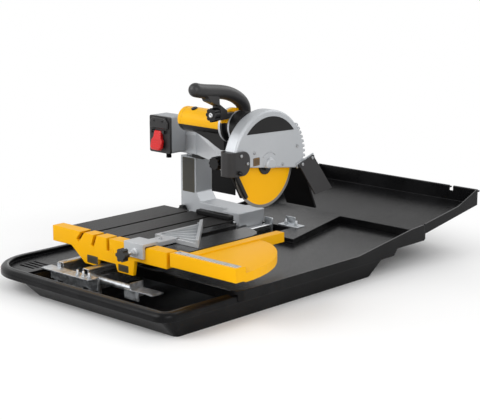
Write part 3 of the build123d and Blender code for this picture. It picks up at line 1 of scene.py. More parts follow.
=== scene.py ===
import bmesh
import bpy
import math
import numpy as np
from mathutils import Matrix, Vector


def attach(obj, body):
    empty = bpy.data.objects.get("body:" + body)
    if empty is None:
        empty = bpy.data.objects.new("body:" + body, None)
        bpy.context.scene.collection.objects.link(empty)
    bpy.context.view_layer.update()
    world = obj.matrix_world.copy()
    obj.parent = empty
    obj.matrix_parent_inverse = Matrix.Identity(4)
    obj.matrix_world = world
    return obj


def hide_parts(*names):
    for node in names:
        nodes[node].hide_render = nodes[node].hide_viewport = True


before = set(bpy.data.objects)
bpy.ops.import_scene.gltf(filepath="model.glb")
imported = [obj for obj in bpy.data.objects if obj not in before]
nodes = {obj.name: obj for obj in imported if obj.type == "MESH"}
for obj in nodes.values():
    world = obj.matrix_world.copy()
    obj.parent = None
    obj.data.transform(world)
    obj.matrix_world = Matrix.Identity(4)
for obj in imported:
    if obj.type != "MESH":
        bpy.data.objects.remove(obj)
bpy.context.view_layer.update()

# Water pan and splash trays: three black tubs, moulded in one piece each from structural-foam
# polyethylene. The skin has a fine leather grain, and rims and edges are a little paler: partly rubbed,
# partly a painted highlight.
# The trays hook over the pan's rims, and every rim ends in a rolled, shinier bead.


class Shade:
    """One socket of a material's nodes. Sums and products of values add Math nodes, also with a
    plain number on the left; add() puts in any other node and gives back one of its outputs."""

    def __init__(self, tree, socket=None):
        self.tree = tree
        self.socket = socket

    def add(self, kind, settings=None, sockets=None, out=0):
        node = self.tree.nodes.new("ShaderNode" + kind)
        for name, value in (settings or {}).items():
            setattr(node, name, value)
        for name, value in (sockets or {}).items():
            if isinstance(value, Shade):
                self.tree.links.new(value.socket, node.inputs[name])
            else:
                node.inputs[name].default_value = value
        return Shade(self.tree, node.outputs[out])

    def math(self, operation, a, b=0.0):
        return self.add("Math", {"operation": operation}, {0: a, 1: b})

    def __add__(self, other):
        return self.math("ADD", self, other)

    def __sub__(self, other):
        return self.math("SUBTRACT", self, other)

    def __rsub__(self, other):
        return self.math("SUBTRACT", other, self)

    def __mul__(self, other):
        return self.math("MULTIPLY", self, other)

    __radd__ = __add__
    __rmul__ = __mul__

    def least(self, other):
        return self.math("MINIMUM", self, other)

    def most(self, other):
        return self.math("MAXIMUM", self, other)

    def fraction(self):
        return self.math("FRACT", self)

    def along(self, axis):
        """One coordinate of a place: 0 for X, 1 for Y and 2 for Z."""
        return self.add("SeparateXYZ", None, {"Vector": self}, out=axis)

    def between(self, low, high):
        """0 below low, 1 above high, an S-shaped rise from one to the other."""
        return self.add("MapRange", {"interpolation_type": "SMOOTHSTEP"},
                        {"Value": self, "From Min": low, "From Max": high})

    def past(self, edge, blur=0.0002):
        """0 before an edge and 1 past it, run together over blur to either side."""
        return self.between(edge - blur, edge + blur)

    def noise(self, scale, detail=3.0, stretch=(1.0, 1.0, 1.0)):
        """Cloudy noise from 0 to 1, that many cells to the metre, drawn out by stretch."""
        place = self.add("Mapping", None, {"Vector": self, "Scale": stretch})
        return self.add("TexNoise", None, {"Vector": place, "Scale": scale, "Detail": detail})

    def mix(self, first, second):
        """A colour from first, where this value is 0, to second, where it is 1."""
        return self.add("Mix", {"data_type": "RGBA"}, {0: self, 6: first, 7: second}, out=2)


def ink(red, green, blue):
    """A colour picked on screen, 0 to 255 a channel, as the linear colour that a shader takes."""
    screen = np.array((red, green, blue)) / 255.0
    linear = np.where(screen <= 0.04045, screen / 12.92, ((screen + 0.055) / 1.055) ** 2.4)
    return (*linear.tolist(), 1.0)


def start_finish(name):
    """A new material and its Object coordinates, in metres in the object's own frame."""
    material = bpy.data.materials.new(name)
    material.use_nodes = True
    return material, Shade(material.node_tree).add("TexCoord", out="Object")


def eased(place, radius):
    """Normals rounded over every sharp edge by that radius in metres."""
    return place.add("Bevel", {"samples": 6}, {"Radius": radius})


def near_edges(place, normal):
    """How near an edge a point is, 0 to 1: one less the cosine of the angle between the eased
    normal and the face's own, spread over the range from a flat face to a sharp edge."""
    flat, sharp = 0.005, 0.22
    face = place.add("NewGeometry", out="Normal")
    cosine = place.add("VectorMath", {"operation": "DOT_PRODUCT"}, {0: normal, 1: face}, out="Value")
    return (1.0 - cosine).between(flat, sharp)


def end_finish(material, colour, rough, height, depth, normal=None, metal=0.0, shine=0.5):
    """Links what varies to the Principled shader, with height as a bump of that depth in metres
    over the given normals. Metal is a number or a value that varies, and shine the specular level."""
    shader = material.node_tree.nodes["Principled BSDF"]
    link = material.node_tree.links.new
    link(colour.socket, shader.inputs["Base Color"])
    link(rough.socket, shader.inputs["Roughness"])
    sockets = {"Height": height, "Distance": depth, "Strength": 1.0}
    if normal is not None:
        sockets["Normal"] = normal
    link(height.add("Bump", None, sockets).socket, shader.inputs["Normal"])
    if isinstance(metal, Shade):
        link(metal.socket, shader.inputs["Metallic"])
    else:
        shader.inputs["Metallic"].default_value = metal
    shader.inputs["Specular IOR Level"].default_value = shine
    return material


def moulded(name, colour, worn_and_highlight, grain, depth, rough, edge, metal=0.0, shine=0.5):
    """A moulded or sprayed skin: a grain of that many cells to the metre and that depth, clouded
    colour, and edges eased by a radius and drawn towards the paler colour, as rubbing and painted
    highlight."""
    material, place = start_finish(name)
    normal = eased(place, edge)
    near_edge = near_edges(place, normal)
    cloud = place.noise(9.0, 4.0)
    skin = place.noise(grain, 2.0)
    # Paler near edges: partly rubbed wear, partly a painted highlight; the cloud is random tone.
    rubbed_and_highlit = near_edge * (0.3 + 0.5 * place.noise(60.0)) + 0.15 * cloud.between(0.35, 0.75)
    return end_finish(material, rubbed_and_highlit.mix(colour, worn_and_highlight), rough + 0.12 * skin - 0.1 * near_edge,
                      skin, depth, normal, metal, shine)


def dress(material, *names):
    """That material, and no other, on the named CAD nodes."""
    for name in names:
        nodes[name].data.materials.clear()
        nodes[name].data.materials.append(material)


pan_skin = moulded("pan_polyethylene", ink(7, 7, 8), ink(56, 56, 58), grain=700.0, depth=0.0002,
                   rough=0.2, edge=0.003, shine=0.12)
dress(pan_skin, "water_pan", "side_tray", "rear_tray")


def here(points):
    """Millimetres from the blade's plane, its arbor line and the floor, as metres in the frame."""
    arbor_in_frame = (140.0, 100.0, 0.0)
    return (np.asarray(points, float) + arbor_in_frame) / 1000.0


def put(name, points, faces, material, body, slot):
    """A mesh of those points and faces as a piece that moves with body: rounded faces smooth,
    edges sharper than 40 degrees kept, all faces turned outwards."""
    mesh = bpy.data.meshes.new(name)
    mesh.from_pydata(points.reshape(-1, 3).tolist(), [], faces)
    work = bmesh.new()
    work.from_mesh(mesh)
    bmesh.ops.recalc_face_normals(work, faces=work.faces)
    work.to_mesh(mesh)
    work.free()
    mesh.shade_smooth()
    mesh.set_sharp_from_angle(angle=math.radians(40))
    mesh.materials.append(material)
    piece = bpy.data.objects.new(name, mesh)
    bpy.context.scene.collection.objects.link(piece)
    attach(piece, body)
    return piece


def rows_of_faces(rows, columns, ring=False):
    """Quads over a grid of points whose columns close round, with a face over the first and the
    last row, or, for a ring, with the last row joined to the first."""
    row, column = np.meshgrid(np.arange(rows if ring else rows - 1), np.arange(columns), indexing="ij")
    below, beside = (row + 1) % rows, (column + 1) % columns
    quads = np.stack([row * columns + column, row * columns + beside, below * columns + beside,
                      below * columns + column], axis=-1).reshape(-1, 4).tolist()
    if ring:
        return quads
    return quads + [list(range(columns)), list(range((rows - 1) * columns, rows * columns))]


def bead(path, radius, ring=False, sides=10):
    """A round bar along a path of points: at each point a circle square to the path, its two
    axes being the path's direction crossed with the upright and that crossed back."""
    path = np.asarray(path, float)
    along = np.gradient(path, axis=0)
    if ring:
        along = np.roll(path, -1, axis=0) - np.roll(path, 1, axis=0)
    along /= np.linalg.norm(along, axis=1, keepdims=True)
    upright = np.where(np.abs(along[:, 2:]) > 0.9, (1.0, 0.0, 0.0), (0.0, 0.0, 1.0))
    side = np.cross(along, upright)
    side /= np.linalg.norm(side, axis=1, keepdims=True)
    rise = np.cross(side, along)
    turn = np.linspace(0, 2 * np.pi, sides, endpoint=False)[None, :, None]
    points = path[:, None] + radius * (np.cos(turn) * side[:, None] + np.sin(turn) * rise[:, None])
    return here(points), rows_of_faces(len(path), sides, ring)


corner_steps = 10


def rounded_loop(x0, x1, y0, y1, radii, z, steps=corner_steps):
    """A rectangle at height z with a quarter circle of its own radius at each corner, front left
    first and anticlockwise: corner centre plus radius times (cosine, sine) of a quarter turn."""
    corners = ((x0, y0, 180), (x1, y0, 270), (x1, y1, 0), (x0, y1, 90))
    quarter = np.linspace(0, 90, steps)
    arcs = []
    for (x, y, start), radius in zip(corners, radii):
        angle = np.radians(start + quarter)
        centre_x = x + radius if x == x0 else x - radius
        centre_y = y + radius if y == y0 else y - radius
        arcs.append(np.stack([centre_x + radius * np.cos(angle), centre_y + radius * np.sin(angle),
                              np.full(steps, z)], axis=1))
    return np.concatenate(arcs)


rim_skin = moulded("pan_rim_polish", ink(10, 10, 11), ink(78, 78, 80), grain=700.0, depth=0.0001,
                   rough=0.13, edge=0.002, shine=0.45)
pan_left, pan_right, pan_front, pan_back = -650.0, 174.0, -584.0, 415.0
foot_r, foot_z = 3.0, 52.0
rim_foot = rounded_loop(pan_left + foot_r, pan_right - foot_r, pan_front + foot_r, pan_back - foot_r,
                        (157, 42, 42, 42), foot_z)
put("pan_rim_bead", *bead(rim_foot, foot_r, ring=True), rim_skin, "base", "pan_black")
roll_r, roll_in, roll_z = 4.0, 22.5, 72.5
roll_left, roll_right = pan_left + roll_in, pan_right - roll_in
roll_left_end, roll_right_end = 330.0, -313.0
rim_inside = rounded_loop(roll_left, roll_right, pan_front + roll_in, pan_back - roll_in,
                          (137, 22, 22, 22), roll_z)
rim_roll = np.concatenate([[(roll_left, roll_left_end, roll_z)], rim_inside[:2 * corner_steps],
                           [(roll_right, roll_right_end, roll_z)]])
put("pan_rim_roll", *bead(rim_roll, roll_r), rim_skin, "base", "pan_black")
lip_r = 2.8
tray_lip = [(-238, -306, 84), (150, -306, 84), (166, -303, 84), (177, -294, 84), (181, -280, 84),
            (181, 100, 84), (181, 238, 84.5), (181, 260, 87), (181, 400, 106.5), (181, 510, 122),
            (181, 540, 124), (181, 578, 126)]
put("side_tray_bead", *bead(tray_lip, lip_r), rim_skin, "base", "pan_black")
rear_lip_right = [(181, 584, 128), (181, 680, 142), (181, 772, 156), (181, 800, 165), (181, 872, 193),
                  (180, 881, 197), (172, 883, 197.2), (150, 883, 197.2), (88, 883, 197.2)]
put("rear_tray_bead_right", *bead(rear_lip_right, lip_r), rim_skin, "base", "pan_black")
rear_lip_back = [(68, 883, 197.2), (-200, 883, 197.2), (-517, 883, 197.2)]
put("rear_tray_bead_back", *bead(rear_lip_back, lip_r), rim_skin, "base", "pan_black")

# Drain plug: a rubber stopper pressed into the hole in the pan's floor.
# It is pulled up by its tab to let the water out.
rubber = moulded("black_rubber", ink(9, 9, 10), ink(36, 36, 37), grain=1400.0, depth=0.00012,
                 rough=0.5, edge=0.0015, shine=0.12)
dress(rubber, "drain_plug")

# Base frame, front strip and spacer tube: folded and welded sheet steel, hot-dip galvanised,
# with the zinc's flat crystals showing. Three bolts with long studs hold the strip.
material, place = start_finish("galvanised_steel")
crystal = place.add("TexVoronoi", {"feature": "F1"}, {"Vector": place, "Scale": 130.0}, out="Color")
spangle = crystal.add("SeparateColor", None, {"Color": crystal}, out=0)
smear = place.noise(35.0, 5.0)
zinc = (0.6 * spangle + 0.4 * smear).mix(ink(148, 152, 156), ink(206, 209, 212))
galvanised = end_finish(material, zinc, 0.26 + 0.22 * spangle + 0.1 * smear, smear, 0.0002,
                        eased(place, 0.0015), metal=0.95)
dress(galvanised, "base_frame", "front_plate", "front_tube")


def turned_on(centre, axis, profile, sides=28, flats=0):
    """A turned piece: the (radius, height) profile spun about an axis through centre. With flats
    the radius is cut back to that many-sided bar: times cos(half) over cos(turn within a side)."""
    axis = np.asarray(axis, float) / np.linalg.norm(axis)
    first = np.cross(axis, (0.0, 0.0, 1.0) if abs(axis[2]) < 0.9 else (1.0, 0.0, 0.0))
    first /= np.linalg.norm(first)
    second = np.cross(axis, first)
    turn = np.linspace(0, 2 * np.pi, sides, endpoint=False)
    reach = np.ones(sides)
    if flats:
        half = np.pi / flats
        reach = np.cos(half) / np.cos((turn % (2 * half)) - half)
    rim = np.cos(turn)[:, None] * first + np.sin(turn)[:, None] * second
    radius, height = np.asarray(profile, float).T
    points = (np.asarray(centre, float) + height[:, None, None] * axis
              + radius[:, None, None] * (reach[:, None] * rim)[None])
    return here(points), rows_of_faces(len(profile), sides)


def fasten(name, places, axis, profile, material, body, slot, sides=24, flats=0):
    """One turned piece of that profile at each of the places, numbered from 0."""
    for number, place in enumerate(places):
        put(f"{name}_{number}", *turned_on(place, axis, profile, sides, flats), material, body, slot)


right, back, front, up = (1, 0, 0), (0, 1, 0), (0, -1, 0), (0, 0, 1)
hex_head = [(8.0, 0.0), (8.0, 1.6), (6.5, 1.6), (6.5, 6.0), (5.8, 6.6), (0.5, 6.6)]
stud_end = [(4.0, 0.0), (4.0, 15.0), (3.3, 16.0), (0.5, 16.0)]
strip_bolts = [(-292, -492, 84), (-266, -492, 84), (-240, -492, 84)]
fasten("strip_bolt", strip_bolts, up, hex_head, galvanised, "base", "galvanised", flats=6)
fasten("strip_stud", strip_bolts, up, stud_end, galvanised, "base", "galvanised", sides=16)

# Rails: two stainless tubes, brushed along their length, that the cart's rollers run on.
# They lie in the frame's bearers, and the right one runs on past the column's foot.


def brushed(name, dark, light, lay, rough, edge):
    """Bare metal whose hairlines lie along one axis: noise drawn out along it."""
    material, place = start_finish(name)
    stretch = [1.0 if axis == lay else 60.0 for axis in "XYZ"]
    hair = place.noise(14.0, 6.0, stretch)
    cloud = place.noise(20.0)
    return end_finish(material, (0.7 * hair + 0.3 * cloud).mix(dark, light), rough + 0.18 * hair,
                      hair, 0.00006, eased(place, edge), metal=1.0)


stainless = brushed("brushed_stainless", ink(158, 160, 162), ink(222, 223, 224), lay="Y", rough=0.2,
                    edge=0.002)
dress(stainless, "rail_left", "rail_right")

# Column and arm: aluminium sand castings under silver-grey enamel. The casting's skin shows
# through as a soft orange peel, with fine metal flake in the paint.


def silver_paint(name, dark, light, edge, depth):
    """Silver enamel: from dark to light by the flakes' own tones, a slow cloud and a painted
    highlight near each edge, over a casting's skin of that depth."""
    material, place = start_finish(name)
    normal = eased(place, edge)
    flake = place.add("TexVoronoi", None, {"Vector": place, "Scale": 2600.0}, out="Color")
    glint = flake.add("SeparateColor", None, {"Color": flake}, out=0)
    skin = place.noise(420.0, 3.0)
    cloud = place.noise(7.0, 4.0)
    # Edges are painted paler: a painted highlight on the casting's rounded rims.
    tone = 0.45 * glint + 0.35 * cloud + 0.3 * near_edges(place, normal)
    return end_finish(material, tone.mix(dark, light), 0.36 + 0.12 * skin, skin, depth, normal,
                      metal=0.45)


silver = silver_paint("silver_enamel", ink(158, 161, 165), ink(198, 201, 204), edge=0.006, depth=0.0002)
dress(silver, "column", "arm_casting")

# Stop at the right rail's end and the clip that holds the rear tray beside it: bent galvanised
# strip, fixed by hexagon bolts with long studs.


def plate_on(outline, thick, soft, corner, across, upward):
    """A flat plate: the outline, in millimetres along across and upward from corner, carried out
    through three rings, full size at its back and near its face, drawn in by soft at the face.
    A point moves in along the sum of its two edges' normals over one plus their cosine."""
    outline = np.asarray(outline, float)
    run = np.roll(outline, -1, axis=0) - outline
    run /= np.linalg.norm(run, axis=1, keepdims=True)
    inward = np.stack([-run[:, 1], run[:, 0]], axis=1)
    before = np.roll(inward, 1, axis=0)
    draw = (inward + before) / (1.0 + (inward * before).sum(axis=1, keepdims=True))
    across, upward = np.asarray(across, float), np.asarray(upward, float)
    out = np.cross(across, upward)
    rings = [(outline, 0.0), (outline, thick - soft), (outline + soft * draw, thick)]
    points = np.stack([np.asarray(corner, float) + flat[:, :1] * across + flat[:, 1:] * upward
                       + height * out for flat, height in rings])
    return here(points), rows_of_faces(3, len(outline))


def rounded_card(width, height, radius, steps=5):
    """A card's outline, width by height from its own lower left corner, with rounded corners."""
    return rounded_loop(0, width, 0, height, [radius] * 4, 0.0, steps)[:, :2]


strip_soft = 0.6
for name, outline, thick, corner, upward in (
        ("rail_stop", rounded_card(36, 50, 4), 4, (-303, 342, 70), up),
        ("tray_clip", rounded_card(86, 40, 3), 3, (-255, 352, 97.9), back),
        ("tray_clip_lug", rounded_card(44, 24, 4), 3, (-252, 390, 99), up)):
    put(name, *plate_on(outline, thick, strip_soft, corner, right, upward), galvanised, "base",
        "galvanised")
clip_bolts = [(-236, 372, 100.9), (-190, 372, 100.9)]
fasten("clip_bolt", clip_bolts, up, hex_head, galvanised, "base", "galvanised", flats=6)
fasten("clip_stud", clip_bolts, up, stud_end, galvanised, "base", "galvanised", sides=16)

# Bare plate on the column's face: a thin black card stuck on, with a paler line let in round
# its edge. The fence and the guard have smaller ones.


def card(name, ground, line, corner, size, across):
    """Printed film: its ground colour, with a line a little in from each edge, found from the
    distance in metres to the nearest edge along the two directions that the card lies in."""
    border, line_wide = 0.0024, 0.0008
    material, place = start_finish(name)
    skin = place.noise(900.0, 2.0)
    from_edge = []
    for direction, length in zip((across, up), np.array(size) / 1000.0):
        axis = direction.index(1)
        run = place.along(axis) - float(here([corner])[0][axis])
        from_edge.append(run.least(float(length) - run))
    nearest = from_edge[0].least(from_edge[1])
    inner = nearest.past(border) * (1.0 - nearest.past(border + line_wide))
    tone = 0.75 * inner + 0.18 * place.noise(40.0)
    return end_finish(material, tone.mix(ground, line), 0.32 + 0.1 * skin, skin, 0.00002)


def stick_card(name, film_name, corner, size, across, body, ground, line):
    """A bare printed card with rounded corners, standing upright."""
    thick, soft, corner_r = 0.8, 0.3, 2.5
    film = card(film_name, ground, line, corner, size, across)
    sheet = plate_on(rounded_card(*size, corner_r), thick, soft, corner, across, up)
    put(name, *sheet, film, body, "black_moulding")


stick_card("column_card", "column_film", (-606, 250, 180), (58, 120), right, "base",
           ink(34, 32, 26), ink(96, 86, 50))

# Plunge pin: turned steel, pressed in the column's tongue, that the arm swings on.
# Screws and the drive's bare steel pieces have the same finish.
turned = brushed("turned_steel", ink(120, 122, 125), ink(196, 198, 200), lay="X", rough=0.22, edge=0.0008)
dress(turned, "plunge_pin")

# Column knob, the other hand knobs and the arm's stop block: black glass-filled nylon, moulded
# with a matt grain. The block is let into the underside of the arm's boss.
nylon = moulded("black_nylon", ink(12, 12, 13), ink(44, 44, 45), grain=1100.0, depth=0.00015,
                rough=0.28, edge=0.0018, shine=0.25)
dress(nylon, "column_knob", "bevel_knob", "star_knob")
stop_block = plate_on(rounded_card(54, 14, 3), 26, 2, (-522, 236, 312), right, up)
put("arm_stop", *stop_block, nylon, "arm", "black_moulding")

# Switch box: grey moulded shell with a black face, a hood screwed on it and a red rocking paddle
# with four finger ridges. Below it is the moulded gland for a mains lead, and under the arm's
# root hangs a curtain cut from rubber sheet.
grey_shell = moulded("grey_moulding", ink(150, 153, 157), ink(190, 192, 195), grain=900.0,
                     depth=0.00015, rough=0.4, edge=0.003)
dress(grey_shell, "switch_box")
red_shell = moulded("red_moulding", ink(206, 18, 22), ink(235, 60, 55), grain=900.0, depth=0.00012,
                    rough=0.3, edge=0.0025)
# A paler, shinier copy of the black nylon for the switch face and hood, the handle and the nozzle block:
# its paler colour is painted highlight.
highlit_nylon = moulded("grip_nylon_highlit", ink(30, 29, 30), ink(66, 65, 66), grain=1000.0, depth=0.0002,
                    rough=0.34, edge=0.003, shine=0.4)
dress(highlit_nylon, "switch_face")
dress(rubber, "cord_gland", "arm_curtain")
paddle_foot, paddle_thick = np.array((-596.0, 121.0, 340.0)), 12.0
paddle_up = np.array((0.0, 13.0, 62.0)) / np.hypot(13.0, 62.0)
paddle_out = np.cross(right, paddle_up)
paddle_outline = [(-18, 0), (18, 0), (26, 8), (26, 33), (19, 41), (17, 50), (17, 62), (13, 66),
                  (-13, 66), (-17, 62), (-17, 50), (-19, 41), (-26, 33), (-26, 8)]
paddle = put("stop_paddle", *plate_on(paddle_outline, paddle_thick, 2.5, paddle_foot, right, paddle_up),
             red_shell, "switch_paddle", "red_moulding")
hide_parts("switch_paddle")
ridge_r, first_ridge, ridge_step = 1.7, 8.0, 8.5
ridge_across = np.outer((-21.0, -7.0, 7.0, 21.0), right)
for number in range(4):
    height = first_ridge + ridge_step * number
    ridge = paddle_foot + height * paddle_up + paddle_thick * paddle_out + ridge_across
    put(f"paddle_ridge_{number}", *bead(ridge, ridge_r), red_shell, "switch_paddle", "red_moulding")
hood_outline = [(0, 0), (88, 0), (88, 22), (74, 37), (14, 37), (0, 22)]
put("switch_hood", *plate_on(hood_outline, 11, 3, (-637, 134.2, 414), right, up), highlit_nylon, "arm",
    "black_moulding")
face_screw = [(3.1, 0.0), (3.1, 1.2), (2.5, 2.0), (1.3, 2.2), (1.2, 1.2), (0.3, 1.2)]
fasten("face_screw", [(-613, 123.4, 439), (-573, 123.4, 439)], front, face_screw, nylon, "arm",
       "black_moulding", sides=20)

# Cart: a steel table plate under dark powder coat with ribbed rubber mats screwed on, on a truck
# of folded galvanised steel with four nylon rollers. A nylon buffer stands at its back edge.
# The same dark coat also goes on the spindle and arbor nut as painted shade.
dark_coat_and_painted_shade = moulded("dark_powder_coat_and_painted_shade", ink(22, 22, 23), ink(60, 60, 62), grain=500.0, depth=0.0001,
                     rough=0.2, edge=0.0015, shine=0.3)
dress(dark_coat_and_painted_shade, "table_plate")
mat_rubber = moulded("mat_rubber", ink(19, 18, 18), ink(46, 45, 44), grain=1500.0, depth=0.0002,
                     rough=0.42, edge=0.0015, shine=0.25)
dress(mat_rubber, "mat_left", "mat_middle", "mat_right")
dress(galvanised, "cart_truck")
put("table_buffer", *plate_on(rounded_card(150, 15, 4), 20, 2, (-345, 72, 170), right, up), nylon,
    "cart", "black_rubber")
mat_screw = [(4.5, 0.0), (4.5, 5.0), (3.6, 6.4), (0.4, 6.8)]
mat_screws = [(x, y, 162) for y in (66, -354) for x in (-392, -286, -186)]
fasten("mat_screw", mat_screws, up, mat_screw, turned, "cart", "turned_steel", sides=20)
dress(nylon, "roller_left_front", "roller_left_back", "roller_right_front", "roller_right_back")

# Fence and side wing: aluminium castings in yellow powder coat, with the coat's orange peel.
# The fence has two bare cards and a cast ring on its front.
yellow_coat = moulded("yellow_powder_coat", ink(240, 175, 0), ink(246, 188, 8), grain=300.0,
                      depth=0.00012, rough=0.36, edge=0.003, shine=0.12)
dress(yellow_coat, "fence", "side_extension")
card_ground, card_line = ink(38, 35, 26), ink(104, 90, 44)
stick_card("fence_card_left", "fence_film_left", (-352, -403, 95), (48, 24), right, "cart",
           card_ground, card_line)
stick_card("fence_card_right", "fence_film_right", (-212, -403, 94), (44, 21), right, "cart",
           card_ground, card_line)
mark_r, mark_centre = 7.5, (-240.0, -403.0, 150.0)
circle = np.linspace(0, 2 * np.pi, 32, endpoint=False)
fence_mark = mark_centre + mark_r * np.stack([np.cos(circle), 0 * circle, np.sin(circle)], axis=1)
put("fence_mark", *bead(fence_mark, 1.0, ring=True, sides=8), yellow_coat, "cart", "safety_yellow")

# Rule on the wing: an anodised aluminium strip with a line each centimetre and a longer one each
# fifth, held on the wing's front wall by a screw at each end.
material, place = start_finish("rule_strip")
rule_front = -0.294
from_front = place.along(1) - rule_front
centimetre = (100.0 * place.along(0)).fraction()
fifth = (20.0 * place.along(0)).fraction()
short_line = (1.0 - centimetre.between(0.1, 0.14)) * (1.0 - from_front.between(0.008, 0.0085))
long_line = (1.0 - fifth.between(0.03, 0.04)) * (1.0 - from_front.between(0.014, 0.0145))
hair = place.noise(30.0, 4.0, (1.0, 40.0, 1.0))
bare_rule = hair.mix(ink(186, 188, 190), ink(214, 216, 218))
rule_face = (0.9 * short_line.most(long_line)).mix(bare_rule, ink(40, 40, 42))
rule_metal = end_finish(material, rule_face, 0.3 + 0.15 * hair, hair, 0.00002, eased(place, 0.0008),
                        metal=0.6)
put("wing_rule", *plate_on(rounded_card(240, 22, 2), 1.2, 0.3, (16, -394, 186), right, back),
    rule_metal, "cart", "stainless")
rule_screw = [(4.6, 0.0), (4.6, 1.4), (3.4, 2.6), (1.6, 2.8), (1.5, 1.6), (0.3, 1.6)]
fasten("rule_screw", [(26, -383, 187), (246, -383, 187)], up, rule_screw, turned, "cart", "turned_steel")

# Edge guide: a clamp that rides on the fence and a ribbed triangle, both bare die castings.
# A turned collar on the clamp takes the knob's stud, and screws hold the triangle.
bare_casting = silver_paint("bare_die_casting", ink(160, 163, 166), ink(214, 216, 218), edge=0.002,
                            depth=0.00015)
dress(bare_casting, "guide_clamp", "guide_casting")
collar = [(13, 0), (13, 5), (11, 7), (9, 7), (9, 14), (8, 15), (5.2, 15)]
put("clamp_collar", *turned_on((-128, -412, 167), front, collar, 32), bare_casting, "edge_guide",
    "cast_aluminium")
guide_screw = [(5.5, 0), (5.5, 3.4), (4.4, 4.6), (2.4, 4.8), (2.2, 2.6), (0.3, 2.6)]
guide_screws = [(-180, -248, 183.5), (-139, -300, 183.5), (-194, -84, 183.5), (-105, -262, 183.5)]
fasten("guide_screw", guide_screws, up, guide_screw, turned, "edge_guide", "turned_steel")

# Guide knob: a nylon knob moulded on a bare steel stud, which shows between knob and clamp.
# The stud begins at one place along Y, in metres in the frame.
stud_y, stud_blur = -0.3505, 0.0003
material, place = start_finish("knob_on_stud")
normal = eased(place, 0.0018)
skin = place.noise(1100.0, 2.0)
steel = place.along(1).past(stud_y, stud_blur)
# Paler near the knob's edges: partly rubbing, partly a painted highlight.
knob_rubbed_and_highlit = (0.5 * near_edges(place, normal)).mix(ink(20, 20, 21), ink(58, 58, 59))
knob_on_stud = end_finish(material, steel.mix(knob_rubbed_and_highlit, ink(186, 188, 190)),
                          0.36 + 0.1 * skin - 0.12 * steel, skin, 0.0001, normal, metal=steel)
dress(knob_on_stud, "guide_knob")

# Motor: a shell moulded in two, yellow over black, whose end cap is coloured to match across the
# split, at one height in metres. Beside it are the belt and the nylon cover of the belt case.
dress(nylon, "drive_cover")
motor_yellow, motor_black, split_z = ink(238, 176, 0), ink(12, 12, 13), 0.488
yellow_shell = moulded("yellow_moulding", motor_yellow, ink(244, 188, 10), grain=800.0, depth=0.0001,
                       rough=0.3, edge=0.005, shine=0.2)
dress(yellow_shell, "motor_shell")
dress(nylon, "motor_belly")
material, place = start_finish("two_tone_cap")
skin = place.noise(800.0, 2.0)
cap_tone = place.along(2).past(split_z).mix(motor_black, motor_yellow)
cap_shell = end_finish(material, cap_tone, 0.3 + 0.12 * skin, skin, 0.0001, eased(place, 0.005),
                       shine=0.2)
dress(cap_shell, "motor_cap")
dress(rubber, "drive_belt")

# Motor ring and belt case: each is a silver-painted plate on its left side, in front of a casting
# left black. The ring's crown is yellow like the motor.


def plated(name, silver_end, casting_top):
    """Silver enamel to the left of silver_end; to its right black up to casting_top and yellow
    above it, both in metres in the frame."""
    material, place = start_finish(name)
    skin = place.noise(420.0, 3.0)
    plate = 1.0 - place.along(0).past(silver_end)
    casting = place.along(2).past(casting_top).mix(ink(13, 13, 14), motor_yellow)
    return end_finish(material, plate.mix(casting, ink(186, 189, 193)), 0.34 + 0.12 * skin, skin,
                      0.0002, eased(place, 0.002), metal=0.45 * plate, shine=0.3)


dress(plated("ring_plate", silver_end=0.050, casting_top=0.512), "motor_ring")
dress(plated("case_plate", silver_end=0.081, casting_top=0.550), "drive_housing")

# Drive inside the case and motor: turned and ground steel on ball bearings. The spindle and arbor
# nut are given the dark coat as painted shade under the guard. Two nylon caps on the motor's shell cover
# its brushes.
dress(turned, "bevel_bolt", "bearing_left", "bearing_right", "spindle_pulley", "rotor", "motor_pulley",
      "stator")
dress(dark_coat_and_painted_shade, "spindle", "arbor_nut")
brush_cap = [(10, 0), (10, 2.4), (8.6, 3.4), (2.6, 3.4), (2.4, 2.0), (0.4, 2.0)]
brush_lean = (0, -0.35, 0.94)
fasten("brush_cap", [(-236, -58.4, 536.0), (-150, -58.4, 536.0)], brush_lean, brush_cap, nylon, "head",
       "black_moulding", sides=28)

# Handle: black nylon with a soft grained skin, bolted to the belt case. At the foot of its front
# leg is a star knob with a bare steel face and a nylon collar.
dress(highlit_nylon, "handle")
star_face = [(7.5, 0), (7.5, 1.2), (6.4, 2.2), (3.2, 2.2), (2.8, 1.0), (0.4, 1.0)]
star_collar = [(9, 0), (9, 2.2), (7, 2.2)]
put("star_face", *turned_on((-80, -146, 541), front, star_face), stainless, "star_knob", "turned_steel")
put("star_collar", *turned_on((-80, -121.4, 541), front, star_collar), nylon, "star_knob",
    "black_moulding")

# Blade guard: a deep half-round aluminium casting in silver enamel, with a bare black panel, a bare
# card, a raised arc above the arbor boss and its cover screws. All lie on its right face.
dress(silver, "blade_guard")
guard_face = 22.0
panel_r, panel_y, panel_z = 139, 2, 393
arch = np.linspace(math.radians(39), math.radians(137), 40)
panel_arc = np.stack([panel_y + panel_r * np.cos(arch), panel_z + panel_r * np.sin(arch)], axis=1)
panel_black = moulded("panel_film", ink(17, 16, 17), ink(40, 39, 40), grain=1200.0, depth=0.00003,
                      rough=0.3, edge=0.0008, shine=0.2)
put("guard_panel", *plate_on(panel_arc, 1.2, 0.4, (guard_face, 0, 0), back, up), panel_black, "head",
    "black_moulding")
arc_r, arc_z = 36, 388
sweep = np.linspace(math.radians(48), math.radians(140), 20)
guard_arc = np.stack([np.full(20, guard_face), arc_r * np.cos(sweep), arc_z + arc_r * np.sin(sweep)],
                     axis=1)
put("guard_arc", *bead(guard_arc, 1.6), silver, "head", "cast_aluminium")
stick_card("guard_card", "guard_film", (guard_face, -72, 391), (28, 24), back, "head", ink(60, 44, 16),
           ink(150, 104, 20))
